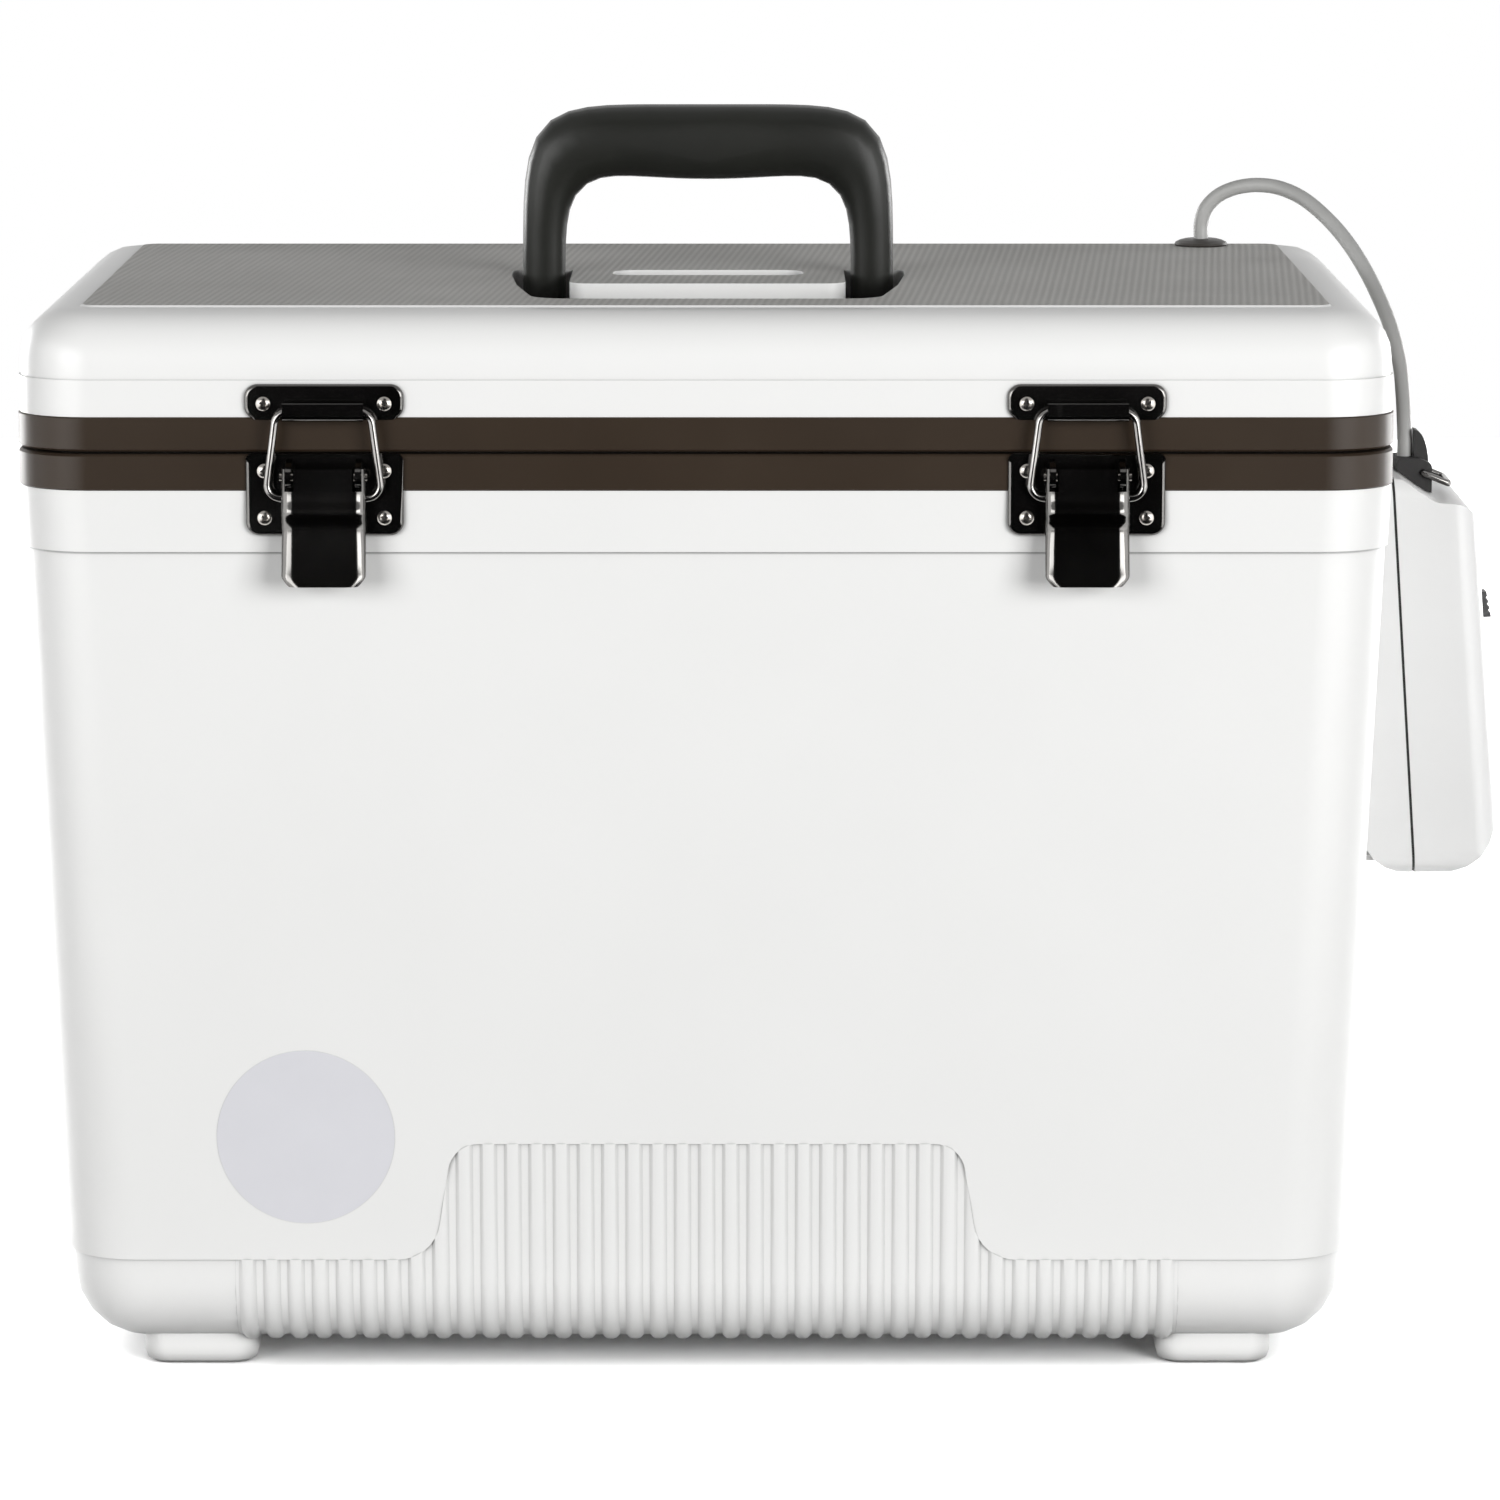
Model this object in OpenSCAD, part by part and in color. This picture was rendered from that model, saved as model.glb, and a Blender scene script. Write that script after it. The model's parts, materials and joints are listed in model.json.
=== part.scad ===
// Hard insulated live-bait cooler with a battery air pump hung on its side.
// The body and the foam-filled lid each end in a brown collar. Two draw latches close the front,
// two hinges carry the lid at the back, and a folding handle lies in a recess of the lid.
// An air hose runs from the pump through a grommet in the lid to an air stone on the floor.
// Lengths are millimetres: +X to the right, +Y to the back, +Z up, the floor at z = 0.

/* [Cooler body] */
// Width over the collars
cooler_w = 482; // [460:1:580]
// Depth over the collars
cooler_d = 298; // [284:1:360]
// Height of the parting line between body and lid
parting_h = 333; // [290:1:400]
// Corner radius in plan
corner_r = 26; // [20:1:34]
// Draft of the walls, in degrees
draft = 2.3; // [1.5:0.1:3]
// Insulated wall, outside to inside
wall_t = 22; // [19:1:26]
// Insulated floor, underside to inside
floor_t = 30; // [24:1:40]
// Plastic skin of the shells
skin_t = 3; // [2.5:0.1:3.5]
// Rounding of the bottom edge
edge_r = 25; // [18:1:28]
// Height of the plain rim under the collar
rim_h = 21.6; // [16:0.2:26]
// Set-back of the wall under the rim
rim_step = 0.8; // [0.5:0.1:1.2]

/* [Feet] */
// Height of a foot
foot_h = 10; // [6:1:14]
// Width and depth of a foot
foot_w = 41; // [30:1:50]
// Centre of a foot, across
foot_x = 182; // [160:1:190]
// Centre of a foot, front to back
foot_y = 98; // [80:1:102]

/* [Ribbed grip] */
// Height of the line where the ribbed foot of the wall starts
grip_h = 43; // [38:1:50]
// Set-back of the ribbed foot of the wall
grip_step = 1.3; // [1:0.1:1.8]
// Top of the raised window of ribs
window_h = 85.5; // [70:0.5:100]
// Half width of the window at its top corners
window_x = 90.3; // [80:0.1:100]
// How far each side of the window leans out to its foot
window_lean = 6.5; // [4:0.5:9]
// Number of ribs
rib_n = 39; // [31:2:43]
// Distance from rib to rib
rib_pitch = 8.6; // [7.6:0.1:8.8]
// Height of a rib
rib_h = 1.7; // [1.2:0.1:2]

/* [Collars] */
// Height of the body's collar
body_collar_h = 12.7; // [10:0.1:15]
// Height of the lid's collar
lid_collar_h = 12; // [10:0.1:15]
// Wall of the collars
collar_t = 3; // [2.5:0.1:3.5]
// How far the collars stand out from the white shells
collar_proud = 0.4; // [0.3:0.1:0.8]
// Gap at the parting line
parting_gap = 1; // [0.8:0.1:1.4]

/* [Lid] */
// Height of the lid above the parting line
lid_h = 49.3; // [46:0.1:58]
// Radius of the lid's shoulder
shoulder_r = 17.5; // [14:0.5:20]
// Height of the skirt over the collar
skirt_h = 12.8; // [10:0.2:14]
// Distance from the edge to the textured top panel
panel_inset = 22.7; // [20:0.1:26]
// Rise of the top panel
panel_rise = 0.7; // [0.4:0.1:1]
// How far the lid's plug reaches into the body
plug_h = 11; // [8:1:16]
// Gap around the plug
plug_gap = 1.2; // [1:0.1:2]
// Width of the lid's rubber seal
seal_w = 6; // [4:0.5:8]

/* [Handle recess] */
// Half width of the recess at the pivots
recess_x = 72; // [70:0.5:76]
// Half width of the recess halfway to its front
recess_mid_x = 68.8; // [68.5:0.1:70]
// Half width of the recess at its front
recess_front_x = 61; // [58:0.5:64]
// Reach of the recess towards the front
recess_front = 101; // [98:1:108]
// Reach of the recess behind the pivots
recess_back = 11.7; // [10:0.1:14]
// Depth of the recess
recess_depth = 30; // [28:1:32]
// Half width of the pad between the handle's legs
pad_x = 50; // [46:0.5:50.5]
// Reach of the pad towards the front
pad_front = 43; // [36:1:46]
// Half width of the scoop behind the pad
scoop_x = 35; // [28:1:38]
// Front edge of the scoop, measured to the front of the pivots
scoop_front = 9; // [6:1:12]
// Depth of the scoop
scoop_depth = 22; // [16:1:26]

/* [Handle] */
// Half width of the handle outside
handle_x = 68; // [66:0.5:68.5]
// Height of the handle over its pivots
handle_h = 79.2; // [76:0.2:82]
// Width of a leg
handle_leg = 15.6; // [13:0.1:15.8]
// Height of the grip at its ends
handle_grip = 25.2; // [22:0.2:27]
// Extra height of the grip in its middle
handle_belly = 2.2; // [1:0.1:3]
// Depth of the grip, front to back
grip_depth = 22; // [19:0.5:24]
// Depth of a leg at its pivot
leg_depth = 15.6; // [14:0.1:17]
// Depth of the pivots under the lid's top
pivot_drop = 17.3; // [16:0.1:18]
// Radius of a handle pin
handle_pin_r = 3; // [2.5:0.1:3.5]

/* [Latches] */
// Latch centre, across
latch_x = 132.3; // [120:0.1:150]
// Thickness of the pressed plates
plate_t = 1.5; // [1.2:0.1:1.8]
// Width of the strike plate
strike_w = 55.2; // [50:0.2:60]
// Height of the strike plate
strike_h = 12.3; // [11:0.1:14]
// Screw distance on the strike
strike_screws = 42; // [40:0.5:46]
// Width of the strike's hook
hook_w = 28; // [24:0.5:29]
// Width of the base plate
base_w = 54.8; // [50:0.2:60]
// Height of the base plate
base_h = 28.7; // [27:0.1:32]
// Screw distance on the base plate
base_screws = 41.6; // [40:0.2:46]
// Width of the lever
lever_w = 29.2; // [27:0.2:30]
// Sheet of the lever
lever_t = 1.2; // [1:0.1:1.5]
// Length of the lever below its pivot
lever_l = 37.5; // [33:0.5:42]
// Drop of the lever's pivot below the parting line
lever_drop = 7.5; // [6.5:0.1:8.5]
// Distance of the lever's pivot from the base plate
lever_out = 5.6; // [5.3:0.1:6]
// Radius of the lever's pivot pin
lever_pin_r = 1.5; // [1.2:0.1:1.8]
// Radius of the bail wire
bail_r = 1.4; // [1.2:0.1:1.5]
// Outside width of the bail at its top
bail_top_w = 34.4; // [32:0.2:36]
// Outside width of the bail at its foot
bail_foot_w = 43.3; // [41:0.1:45]
// Drop from the lever's pivot to the bail's
bail_drop = 7.7; // [7:0.1:8]
// Height from the bail's ends up to its top bar
bail_h = 30.2; // [29:0.1:32]
// Set-back of the bail behind the lever's pivot
bail_back = 1.6; // [1.4:0.1:1.8]

/* [Hinges] */
// Hinge centre, across
hinge_x = 140; // [120:1:165]
// Width of a hinge
hinge_w = 60; // [48:1:70]
// Height of a hinge leaf
hinge_leaf = 24; // [20:1:28]
// Radius of a hinge knuckle
knuckle_r = 4; // [3.6:0.1:4.4]
// Radius of a hinge pin
hinge_pin_r = 2; // [1.6:0.1:2.2]

/* [Air pump] */
// Centre of the pump, front to back
pump_y = 30; // [0:1:45]
// Width of the pump, front to back
pump_w = 80; // [76:1:90]
// Height of the casing, without its neck
pump_h = 138.5; // [134:0.5:150]
// Thickness of the casing at its foot
pump_t = 53; // [50:0.5:58]
// Lean of the casing's front face, in degrees
pump_lean = 4.4; // [3:0.1:5]
// Lean of the seam, in degrees
seam_lean = 3.9; // [3:0.1:4.4]
// Distance from the back face to the seam, at the foot
seam_x = 20.8; // [19:0.1:23]
// Wall of the casing
casing_t = 2; // [1.6:0.1:2.4]
// Thickness of the gasket in the seam
seal_t = 1; // [0.8:0.1:1.4]
// Height of the switch over the casing's foot
switch_z = 96.7; // [80:0.1:104]
// Radius of a battery
battery_r = 16.6; // [16.6:0.1:17]
// Length of a battery
battery_l = 61.5; // [58:0.5:62]
// Outside diameter of the air hose
hose_d = 5.6; // [5:0.1:6]
// Travel of the slide switch
switch_travel = 8; // [6:1:8]

/* [Grommet] */
// Grommet centre, across
grommet_x = 189; // [180:1:200]
// Grommet centre, front to back
grommet_y = 118; // [100:1:118]
// Radius of the grommet's dome
grommet_r = 10.2; // [9.4:0.2:12]
// Height of the grommet's dome
grommet_h = 2.7; // [2:0.1:4]

/* [Hidden] */

$fn = 48;
corner_n = 8;        // segments in a rounded corner
fit = 0.2;           // gap between neighbouring skins and foam
run = 0.05;          // radial clearance of a running pin
seat = 0.02;         // radial clearance of a seated pin
clear = 0.3;         // gap between pieces that move past each other

// Screws: shank, head and length under the head
screw_r = 1.6;
screw_head_r = 2.5;
screw_l = 12;

// Cavity: rounding of its corners in plan and of its floor
cavity_corner_r = 24;
cavity_edge_r = 18;

// Heights, from the floor up
rim_top = parting_h - parting_gap / 2 - body_collar_h;
collar_top = parting_h - parting_gap / 2;
rim_foot = rim_top - rim_h;
lid_base = parting_h + parting_gap / 2;
lid_collar_top = lid_base + lid_collar_h;
lid_top = parting_h + lid_h;
skirt_top = lid_collar_top + skirt_h;
pivot_z = lid_top - pivot_drop;
recess_z = lid_top - recess_depth;

// The hinge line, and the latch's lines on the front face
hinge_y = cooler_d / 2 + knuckle_r + clear;
hinge_z = parting_h;
face_y = cooler_d / 2;
lever_y = -face_y - plate_t - lever_out;
lever_z = parting_h - lever_drop;
bail_y = lever_y + bail_back;
bail_z = lever_z - bail_drop;
bar_z = bail_z + bail_h;
strike_z = bar_z - bail_r - 0.6 - lever_t;
base_top = parting_h - parting_gap / 2 + 0.5;
base_rows = [base_top - 6, base_top - 22.4];
lever_flare = 7.6;
ear_r = 4;

// The pump hangs plumb, its back just clear of the collar
casing_r = [20, 22, 10, 8, 4, 1.5];
casing_edge_r = 9;
pump_x = cooler_w / 2 + 0.5;
pump_foot = rim_foot - pump_h - 1;
pump_top = pump_foot + pump_h;
boot_in = 18.5;
boot_top = pump_top + 14;
barb_r = 2;
clasp_y = 12;
clasp_r = 1.25;
clasp_l = 10.4;
battery_x = 25.5;
shelf_z = [5, 9.3 + battery_l];

// Bracket on the side wall, and its studs in the casing's keyholes
bracket_z = 236;
bracket_t = 1.2;
bracket_screw_y = 28;
bracket_screw_z = 22;
stud_y = 20;
stud_r = 2;

// Seal of the lid, and the stem and lip of the grommet
seal_in = 9;
grommet_stem_r = 6;

// The origin is under the middle of the whole object's box
box_left = -cooler_w / 2;
box_right = pump_x + pump_t - casing_r[1] * (tan(pump_lean) + 1 / cos(pump_lean) - 1);
box_front = lever_y - lever_flare;
box_back = hinge_y + knuckle_r;
shift_x = -(box_left + box_right) / 2;
shift_y = -(box_front + box_back) / 2;

// Routes of the hose, in the cooler's own middle frame
hose_route = [[189, 118, 385], [189, 118, 391], [191, 117.5, 397], [196, 116.5, 402],
              [203, 114.5, 405], [211, 111.5, 406], [219, 107, 405], [227, 100.5, 401.5],
              [235, 92.5, 395], [242, 84, 387], [248, 75, 377.5], [253, 66, 367],
              [257, 57, 356], [259.5, 48, 344], [260, 40, 334], [260, 33, 324],
              [260, 30, 317], [260, 30, 311.2]];
inner_route = [[189, 118, 321.5], [189, 118, 314], [188.5, 115, 300], [187, 108, 283],
               [184.5, 100, 264], [182, 92, 242], [180, 87, 220], [178, 84, 200],
               [177, 82, 180], [176, 81, 160], [176, 80, 140], [176, 80, 120],
               [176, 80, 100], [176, 80, 84], [176, 80, 76]];
stone_at = [176, 80];
stone_top = 76;

// ---- Shapes ---------------------------------------------------------------------------------

function flat(a) = [for (b = a) for (c = b) c];
function unit(v) = v / norm(v);
function spun(v, a) = [v.x * cos(a) - v.y * sin(a), v.x * sin(a) + v.y * cos(a)];

// One corner of an outline, rounded to radius r between its two neighbours
function corner(a, b, c, r, n) =
    let (u = unit(a - b),
         v = unit(c - b),
         half = acos(max(-1, min(1, u * v))) / 2,
         m = b + unit(u + v) * r / sin(half),
         s = b + u * r / tan(half) - m,
         turn = (180 - 2 * half) * (cross(b - a, c - b) > 0 ? 1 : -1))
    r <= 0 ? [b] : [for (i = [0 : n]) m + spun(s, turn * i / n)];

// A closed outline with every corner rounded
function rounded(p, r, n = corner_n) =
    flat([for (i = [0 : len(p) - 1])
          corner(p[(i + len(p) - 1) % len(p)], p[i], p[(i + 1) % len(p)],
                 is_list(r) ? r[i] : r, n)]);

function rect(w, d) = [[-w / 2, -d / 2], [w / 2, -d / 2], [w / 2, d / 2], [-w / 2, d / 2]];

// An outline drawn in by d on every side
function drawn_in(p, d) =
    [for (i = [0 : len(p) - 1])
     let (a = p[(i + len(p) - 1) % len(p)], b = p[i], c = p[(i + 1) % len(p)],
          u = unit(b - a), v = unit(c - b),
          nu = [-u.y, u.x], nv = [-v.y, v.x])
     b + (nu + nv) * d / (1 + nu * nv)];

function lifted(p, z) = [for (q = p) [q.x, q.y, z]];

// A solid through stacked rings that all have the same number of points
module loft(rings) {
    n = len(rings[0]);
    polyhedron(points = flat(rings),
               faces = concat(
                   [[for (i = [0 : n - 1]) i]],
                   [for (k = [0 : len(rings) - 2]) for (i = [0 : n - 1])
                    [k * n + i, (k + 1) * n + i,
                     (k + 1) * n + (i + 1) % n, k * n + (i + 1) % n]],
                   [[for (i = [n - 1 : -1 : 0]) (len(rings) - 1) * n + i]]));
}

// A plan ring of the cooler, drawn in from the collars by inset
function plan(inset, r, z) =
    lifted(rounded(rect(cooler_w - 2 * inset, cooler_d - 2 * inset), max(r, 2)), z);

// A plate on a face that looks towards -Y: its outline in X and Z, its back at y
module front_plate(outline, y, t) {
    translate([0, y, 0])
        rotate([90, 0, 0])
            linear_extrude(t)
                polygon(outline);
}

// A side profile in Y and Z, carried along X from x0 over a width w
module side_plate(outline, x0, w) {
    translate([x0, 0, 0])
        multmatrix([[0, 0, 1, 0], [1, 0, 0, 0], [0, 1, 0, 0], [0, 0, 0, 1]])
            linear_extrude(w)
                polygon(outline);
}

// A profile in X and Z, carried along Y about the line y = 0
module end_plate(outline, w) {
    translate([0, w / 2, 0])
        rotate([90, 0, 0])
            linear_extrude(w)
                polygon(outline);
}

// A rod along X that starts at x
module rod_x(x, y, z, r, l) {
    translate([x, y, z])
        rotate([0, 90, 0])
            cylinder(r = r, h = l);
}

// A round tube swept along a route, with one ring of n sides at each point
function heading(p, i) =
    i == 0 ? unit(p[1] - p[0])
    : i == len(p) - 1 ? unit(p[i] - p[i - 1])
    : unit(unit(p[i + 1] - p[i]) + unit(p[i] - p[i - 1]));
function tube_ring(p, i, r, n, side) =
    let (t = heading(p, i), u = unit(cross(side, t)), v = cross(t, u))
    [for (k = [0 : n - 1]) p[i] + r * (u * cos(360 * k / n) + v * sin(360 * k / n))];
module tube(p, r, n = 10, side = [0.36, -0.93, 0.1])
    loft([for (i = [0 : len(p) - 1]) tube_ring(p, i, r, n, side)]);

// A bent wire in the X-Z plane: a swept tube whose two ends lie in round rods
function bent(p, bend, n) =
    concat([p[0] + unit(p[1] - p[0])],
           flat([for (i = [1 : len(p) - 2]) corner(p[i - 1], p[i], p[i + 1], bend, n)]),
           [p[len(p) - 1] + unit(p[len(p) - 2] - p[len(p) - 1])]);
module wire(p, bend, r, rod_l) {
    mirrored_x() rod_x(p[0].x, 0, p[0].y, r, rod_l);
    tube([for (q = bent(p, bend, 4)) [q.x, 0, q.y]], r - 0.03, 10, [0, -1, 0]);
}

module placed() translate([shift_x, shift_y, 0]) children();
module mirrored_x() {
    children();
    mirror([1, 0, 0]) children();
}

// A pan-head screw driven along -Z, its seat at z = 0
module screw() {
    rotate_extrude()
        polygon([[0, -screw_l], [screw_r, -screw_l], [screw_r, 0], [screw_head_r, 0],
                 [screw_head_r, 0.7], [screw_head_r - 0.5, 1.2], [screw_head_r - 1.3, 1.5], [0, 1.6]]);
}
module screw_hole(r) translate([0, 0, -screw_l - 0.5]) cylinder(r = r, h = screw_l + 6);

// Screw places on the body and the lid; the child is set with +Z out of the wall
module at_body_screws() {
    for (s = [-1, 1]) for (x = [-1, 1] * base_screws / 2) for (z = base_rows)
        translate([s * latch_x + x, -face_y - plate_t, z])
            rotate([90, 0, 0]) children();
    for (s = [-1, 1]) for (x = [-1, 1] * (hinge_w / 2 - 8)) for (z = [-10, -20])
        translate([s * hinge_x + x, face_y + plate_t, hinge_z + z])
            rotate([-90, 0, 0]) children();
    at_bracket_screws() children();
}
module at_bracket_screws() {
    for (y = [-1, 1] * bracket_screw_y) for (z = [-1, 1] * bracket_screw_z)
        on_side_wall() translate([z, y, bracket_t]) children();
}
module at_lid_screws() {
    for (s = [-1, 1]) for (x = [-1, 1] * strike_screws / 2)
        translate([s * latch_x + x, -face_y - plate_t, strike_z + strike_h - 6.7])
            rotate([90, 0, 0]) children();
    for (s = [-1, 1]) for (x = [-1, 1] * (hinge_w / 2 - 8)) for (z = [10, 20])
        translate([s * hinge_x + x, face_y + plate_t, hinge_z + z])
            rotate([-90, 0, 0]) children();
}

// The right side wall at the pump's middle: local Z out of the wall, local X down it
module on_side_wall() {
    translate([cooler_w / 2 - wall_in(bracket_z), pump_y, bracket_z])
        rotate([0, 90 + draft, 0]) children();
}

// ---- Body -----------------------------------------------------------------------------------

// How far the outer wall is drawn in from the collar at height z
function lean(z) = (rim_top - z) * tan(draft);
function wall_in(z) = collar_proud + lean(z) + (z < rim_foot ? rim_step : 0);
low_in = collar_proud + rim_step + grip_step;
edge_z = foot_h + edge_r;
edge_in = low_in + lean(edge_z) + edge_r / cos(draft);
grip_y = -face_y + low_in;

function shell_outside() = concat(
    [for (k = [0 : 5]) let (a = 90 - (90 - draft) * k / 5)
     plan(edge_in - edge_r * cos(a), corner_r - edge_r * (1 - cos(a)), edge_z - edge_r * sin(a))],
    [plan(low_in + lean(grip_h), corner_r, grip_h),
     plan(low_in - grip_step + lean(grip_h), corner_r, grip_h),
     plan(low_in - grip_step + lean(rim_foot), corner_r, rim_foot),
     plan(collar_proud + lean(rim_foot), corner_r, rim_foot),
     plan(collar_proud, corner_r, rim_top),
     plan(collar_t + fit, corner_r - collar_t, rim_top),
     plan(collar_t + fit, corner_r - collar_t, collar_top - collar_t - fit)]);

// The space inside the shell, or with a gap d the foam that fills it
function shell_inside(d) = concat(
    [for (k = [0 : 5]) let (a = 90 - (90 - draft) * k / 5)
     plan(edge_in - (edge_r - skin_t - d) * cos(a), corner_r - edge_r * (1 - cos(a)) - 1,
          edge_z - (edge_r - skin_t - d) * sin(a))],
    [plan(low_in + lean(rim_top - 8) + skin_t + d, corner_r - skin_t, rim_top - 8),
     plan(collar_t + fit + skin_t + d, corner_r - collar_t - skin_t, rim_top - 2),
     plan(collar_t + fit + skin_t + d, corner_r - collar_t - skin_t, collar_top - collar_t - fit - d)]);

// The cavity, or with d the outside of its liner
floor_z = foot_h + floor_t;
cavity_z = floor_z + cavity_edge_r;
cavity_in = wall_t + (collar_top - cavity_z) * tan(draft) + cavity_edge_r / cos(draft);
function cavity(d, top) = concat(
    [for (k = [0 : 3]) let (a = 90 - (90 - draft) * k / 3)
     plan(cavity_in - (cavity_edge_r + d) * cos(a),
          cavity_corner_r + d - cavity_edge_r * 0.6 * (1 - cos(a)),
          cavity_z - (cavity_edge_r + d) * sin(a))],
    [plan(wall_t - d - (top - collar_top) * tan(draft), cavity_corner_r + d, top)]);

// The raised window of ribs: S-shaped sides up to a flat top
window_foot = window_x + window_lean + 16;
window = rounded([[-window_foot, grip_h - 8], [window_foot, grip_h - 8], [window_foot, grip_h],
                  [window_x + window_lean, grip_h], [window_x, window_h],
                  [-window_x, window_h], [-window_x - window_lean, grip_h],
                  [-window_foot, grip_h]],
                 [0, 0, 0, 15.5, 11, 11, 15.5, 0]);

// Section of the ribs: low round waves on a strip that is sunk in the wall
rib_w = rib_n * rib_pitch;
function rib_waves(base) = concat(
    [[-rib_w / 2, base - 0.6], [rib_w / 2, base - 0.6], [rib_w / 2, base + 0.1]],
    [for (k = [rib_n - 1 : -1 : 0]) for (w = [[0.36, 0.1], [0.22, 0.8], [0.08, 1], [-0.08, 1],
                                              [-0.22, 0.8], [-0.36, 0.1]])
     [(k - rib_n / 2 + 0.5 + w.x) * rib_pitch, base + rib_h * w.y]],
    [[-rib_w / 2, base + 0.1]]);

module rib_panel() {
    upright = (window_h - edge_z) / cos(draft) + edge_r * tan(draft) * 0.02;
    // The upright stretch, inside the window and under the grip line
    intersection() {
        translate([0, grip_y + lean(edge_z - edge_r * sin(draft)), edge_z - edge_r * sin(draft)])
            rotate([180 + draft, 0, 0])
                translate([0, 0, -upright - 4])
                    linear_extrude(upright + 4)
                        polygon(rib_waves(0));
        front_plate(concat([[-rib_w / 2, foot_h], [rib_w / 2, foot_h], [rib_w / 2, grip_h],
                            [window_foot, grip_h]],
                           [for (i = [3 : len(window) - 2]) window[i]],
                           [[-window_foot, grip_h], [-rib_w / 2, grip_h]]),
                    -face_y + 40, 60);
    }
    // The turn under the bottom edge
    multmatrix([[0, 0, 1, 0], [-1, 0, 0, -face_y + edge_in], [0, -1, 0, edge_z], [0, 0, 0, 1]])
        rotate([0, 0, draft])
            rotate_extrude(angle = 82 - draft)
                polygon([for (q = rib_waves(edge_r)) [q.y, q.x]]);
}

module feet() {
    for (sx = [-1, 1]) for (sy = [-1, 1])
        translate([sx * foot_x, sy * foot_y, 0])
            loft([lifted(rounded(rect(foot_w - 6, foot_w - 6), 7), 0),
                  lifted(rounded(rect(foot_w - 1.6, foot_w - 1.6), 8.5), 1.4),
                  lifted(rounded(rect(foot_w, foot_w), 9), 4),
                  lifted(rounded(rect(foot_w, foot_w), 9), foot_h + 1.5)]);
}

module outer_shell() {
    color("white")
        placed()
            difference() {
                union() {
                    difference() {
                        loft(shell_outside());
                        for (a = [0, 180])
                            rotate([0, 0, a])
                                translate([0, grip_y + lean(grip_h) + 0.05, grip_h])
                                    rotate([90 + draft, 0, 0])
                                        linear_extrude(12)
                                            polygon([for (q = window)
                                                     [q.x, (q.y - grip_h) / cos(draft)]]);
                    }
                    for (a = [0, 180]) rotate([0, 0, a]) rib_panel();
                    feet();
                }
                loft(concat(shell_inside(0),
                            [plan(collar_t + fit + skin_t, corner_r - collar_t - skin_t,
                                  collar_top)]));
                at_body_screws() screw_hole(screw_r + seat);
            }
}

module foam_core() {
    color("khaki")
        placed()
            difference() {
                loft(shell_inside(fit));
                loft(cavity(skin_t + fit, collar_top));
                at_body_screws() screw_hole(screw_r + seat);
            }
}

module inner_liner() {
    color("whitesmoke")
        placed()
            difference() {
                loft(cavity(skin_t, collar_top - collar_t - fit));
                loft(cavity(0, collar_top));
            }
}

module body_collar() {
    color([0.25, 0.21, 0.18])
        placed()
            difference() {
                loft([plan(0.5, corner_r, rim_top), plan(0, corner_r, rim_top + 0.5),
                      plan(0, corner_r, collar_top - 0.8), plan(0.8, corner_r, collar_top)]);
                loft([plan(collar_t, corner_r - collar_t, rim_top - 1),
                      plan(collar_t, corner_r - collar_t, collar_top - collar_t)]);
                loft([plan(wall_t, cavity_corner_r, collar_top - collar_t - 1),
                      plan(wall_t, cavity_corner_r, collar_top + 1)]);
                at_body_screws() screw_hole(screw_r + seat);
            }
}

module body_screws() {
    color("silver") placed() at_body_screws() screw();
}

// ---- Hinges ---------------------------------------------------------------------------------

// One hinge: the body's leaf carries the two outer knuckles, the lid's leaf the middle one
module hinge_leaf_plate(z0, z1, rows) {
    difference() {
        translate([-hinge_w / 2, face_y, z0]) cube([hinge_w, plate_t, z1 - z0]);
        for (x = [-1, 1] * (hinge_w / 2 - 8)) for (z = rows)
            translate([x, face_y - 1, hinge_z + z])
                rotate([-90, 0, 0])
                    cylinder(r = screw_r + 0.2, h = plate_t + 2);
    }
}
// A knuckle with its leaf rolled up to it from below (side -1) or from above (side 1)
module knuckle(x, l, bore, side) {
    difference() {
        union() {
            rod_x(x, hinge_y, hinge_z, knuckle_r, l);
            translate([x, face_y, hinge_z + (side < 0 ? -knuckle_r : clear)])
                cube([l, plate_t, knuckle_r - clear]);
        }
        rod_x(x - 1, hinge_y, hinge_z, bore, l + 2);
    }
}

module hinge_body_leaves() {
    color("dimgray")
        placed()
            for (s = [-1, 1]) translate([s * hinge_x, 0, 0]) {
                for (x = [-hinge_w / 2, hinge_w / 6 + clear])
                    knuckle(x, hinge_w / 3 - clear, hinge_pin_r + seat, -1);
                hinge_leaf_plate(hinge_z - knuckle_r - hinge_leaf, hinge_z - knuckle_r, [-10, -20]);
            }
}

module hinge_lid_leaves() {
    color("dimgray")
        placed()
            for (s = [-1, 1]) translate([s * hinge_x, 0, 0]) {
                knuckle(-hinge_w / 6, hinge_w / 3, hinge_pin_r + run, 1);
                hinge_leaf_plate(hinge_z + knuckle_r, hinge_z + knuckle_r + hinge_leaf - 3, [10, 20]);
            }
}

module hinge_pins() {
    color("silver")
        placed()
            for (s = [-1, 1]) translate([s * hinge_x, 0, 0]) {
                rod_x(-hinge_w / 2, hinge_y, hinge_z, hinge_pin_r, hinge_w);
                for (x = [-hinge_w / 2 - 1.2, hinge_w / 2])
                    rod_x(x, hinge_y, hinge_z, hinge_pin_r + 1, 1.2);
            }
}

// ---- Latches --------------------------------------------------------------------------------

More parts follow.
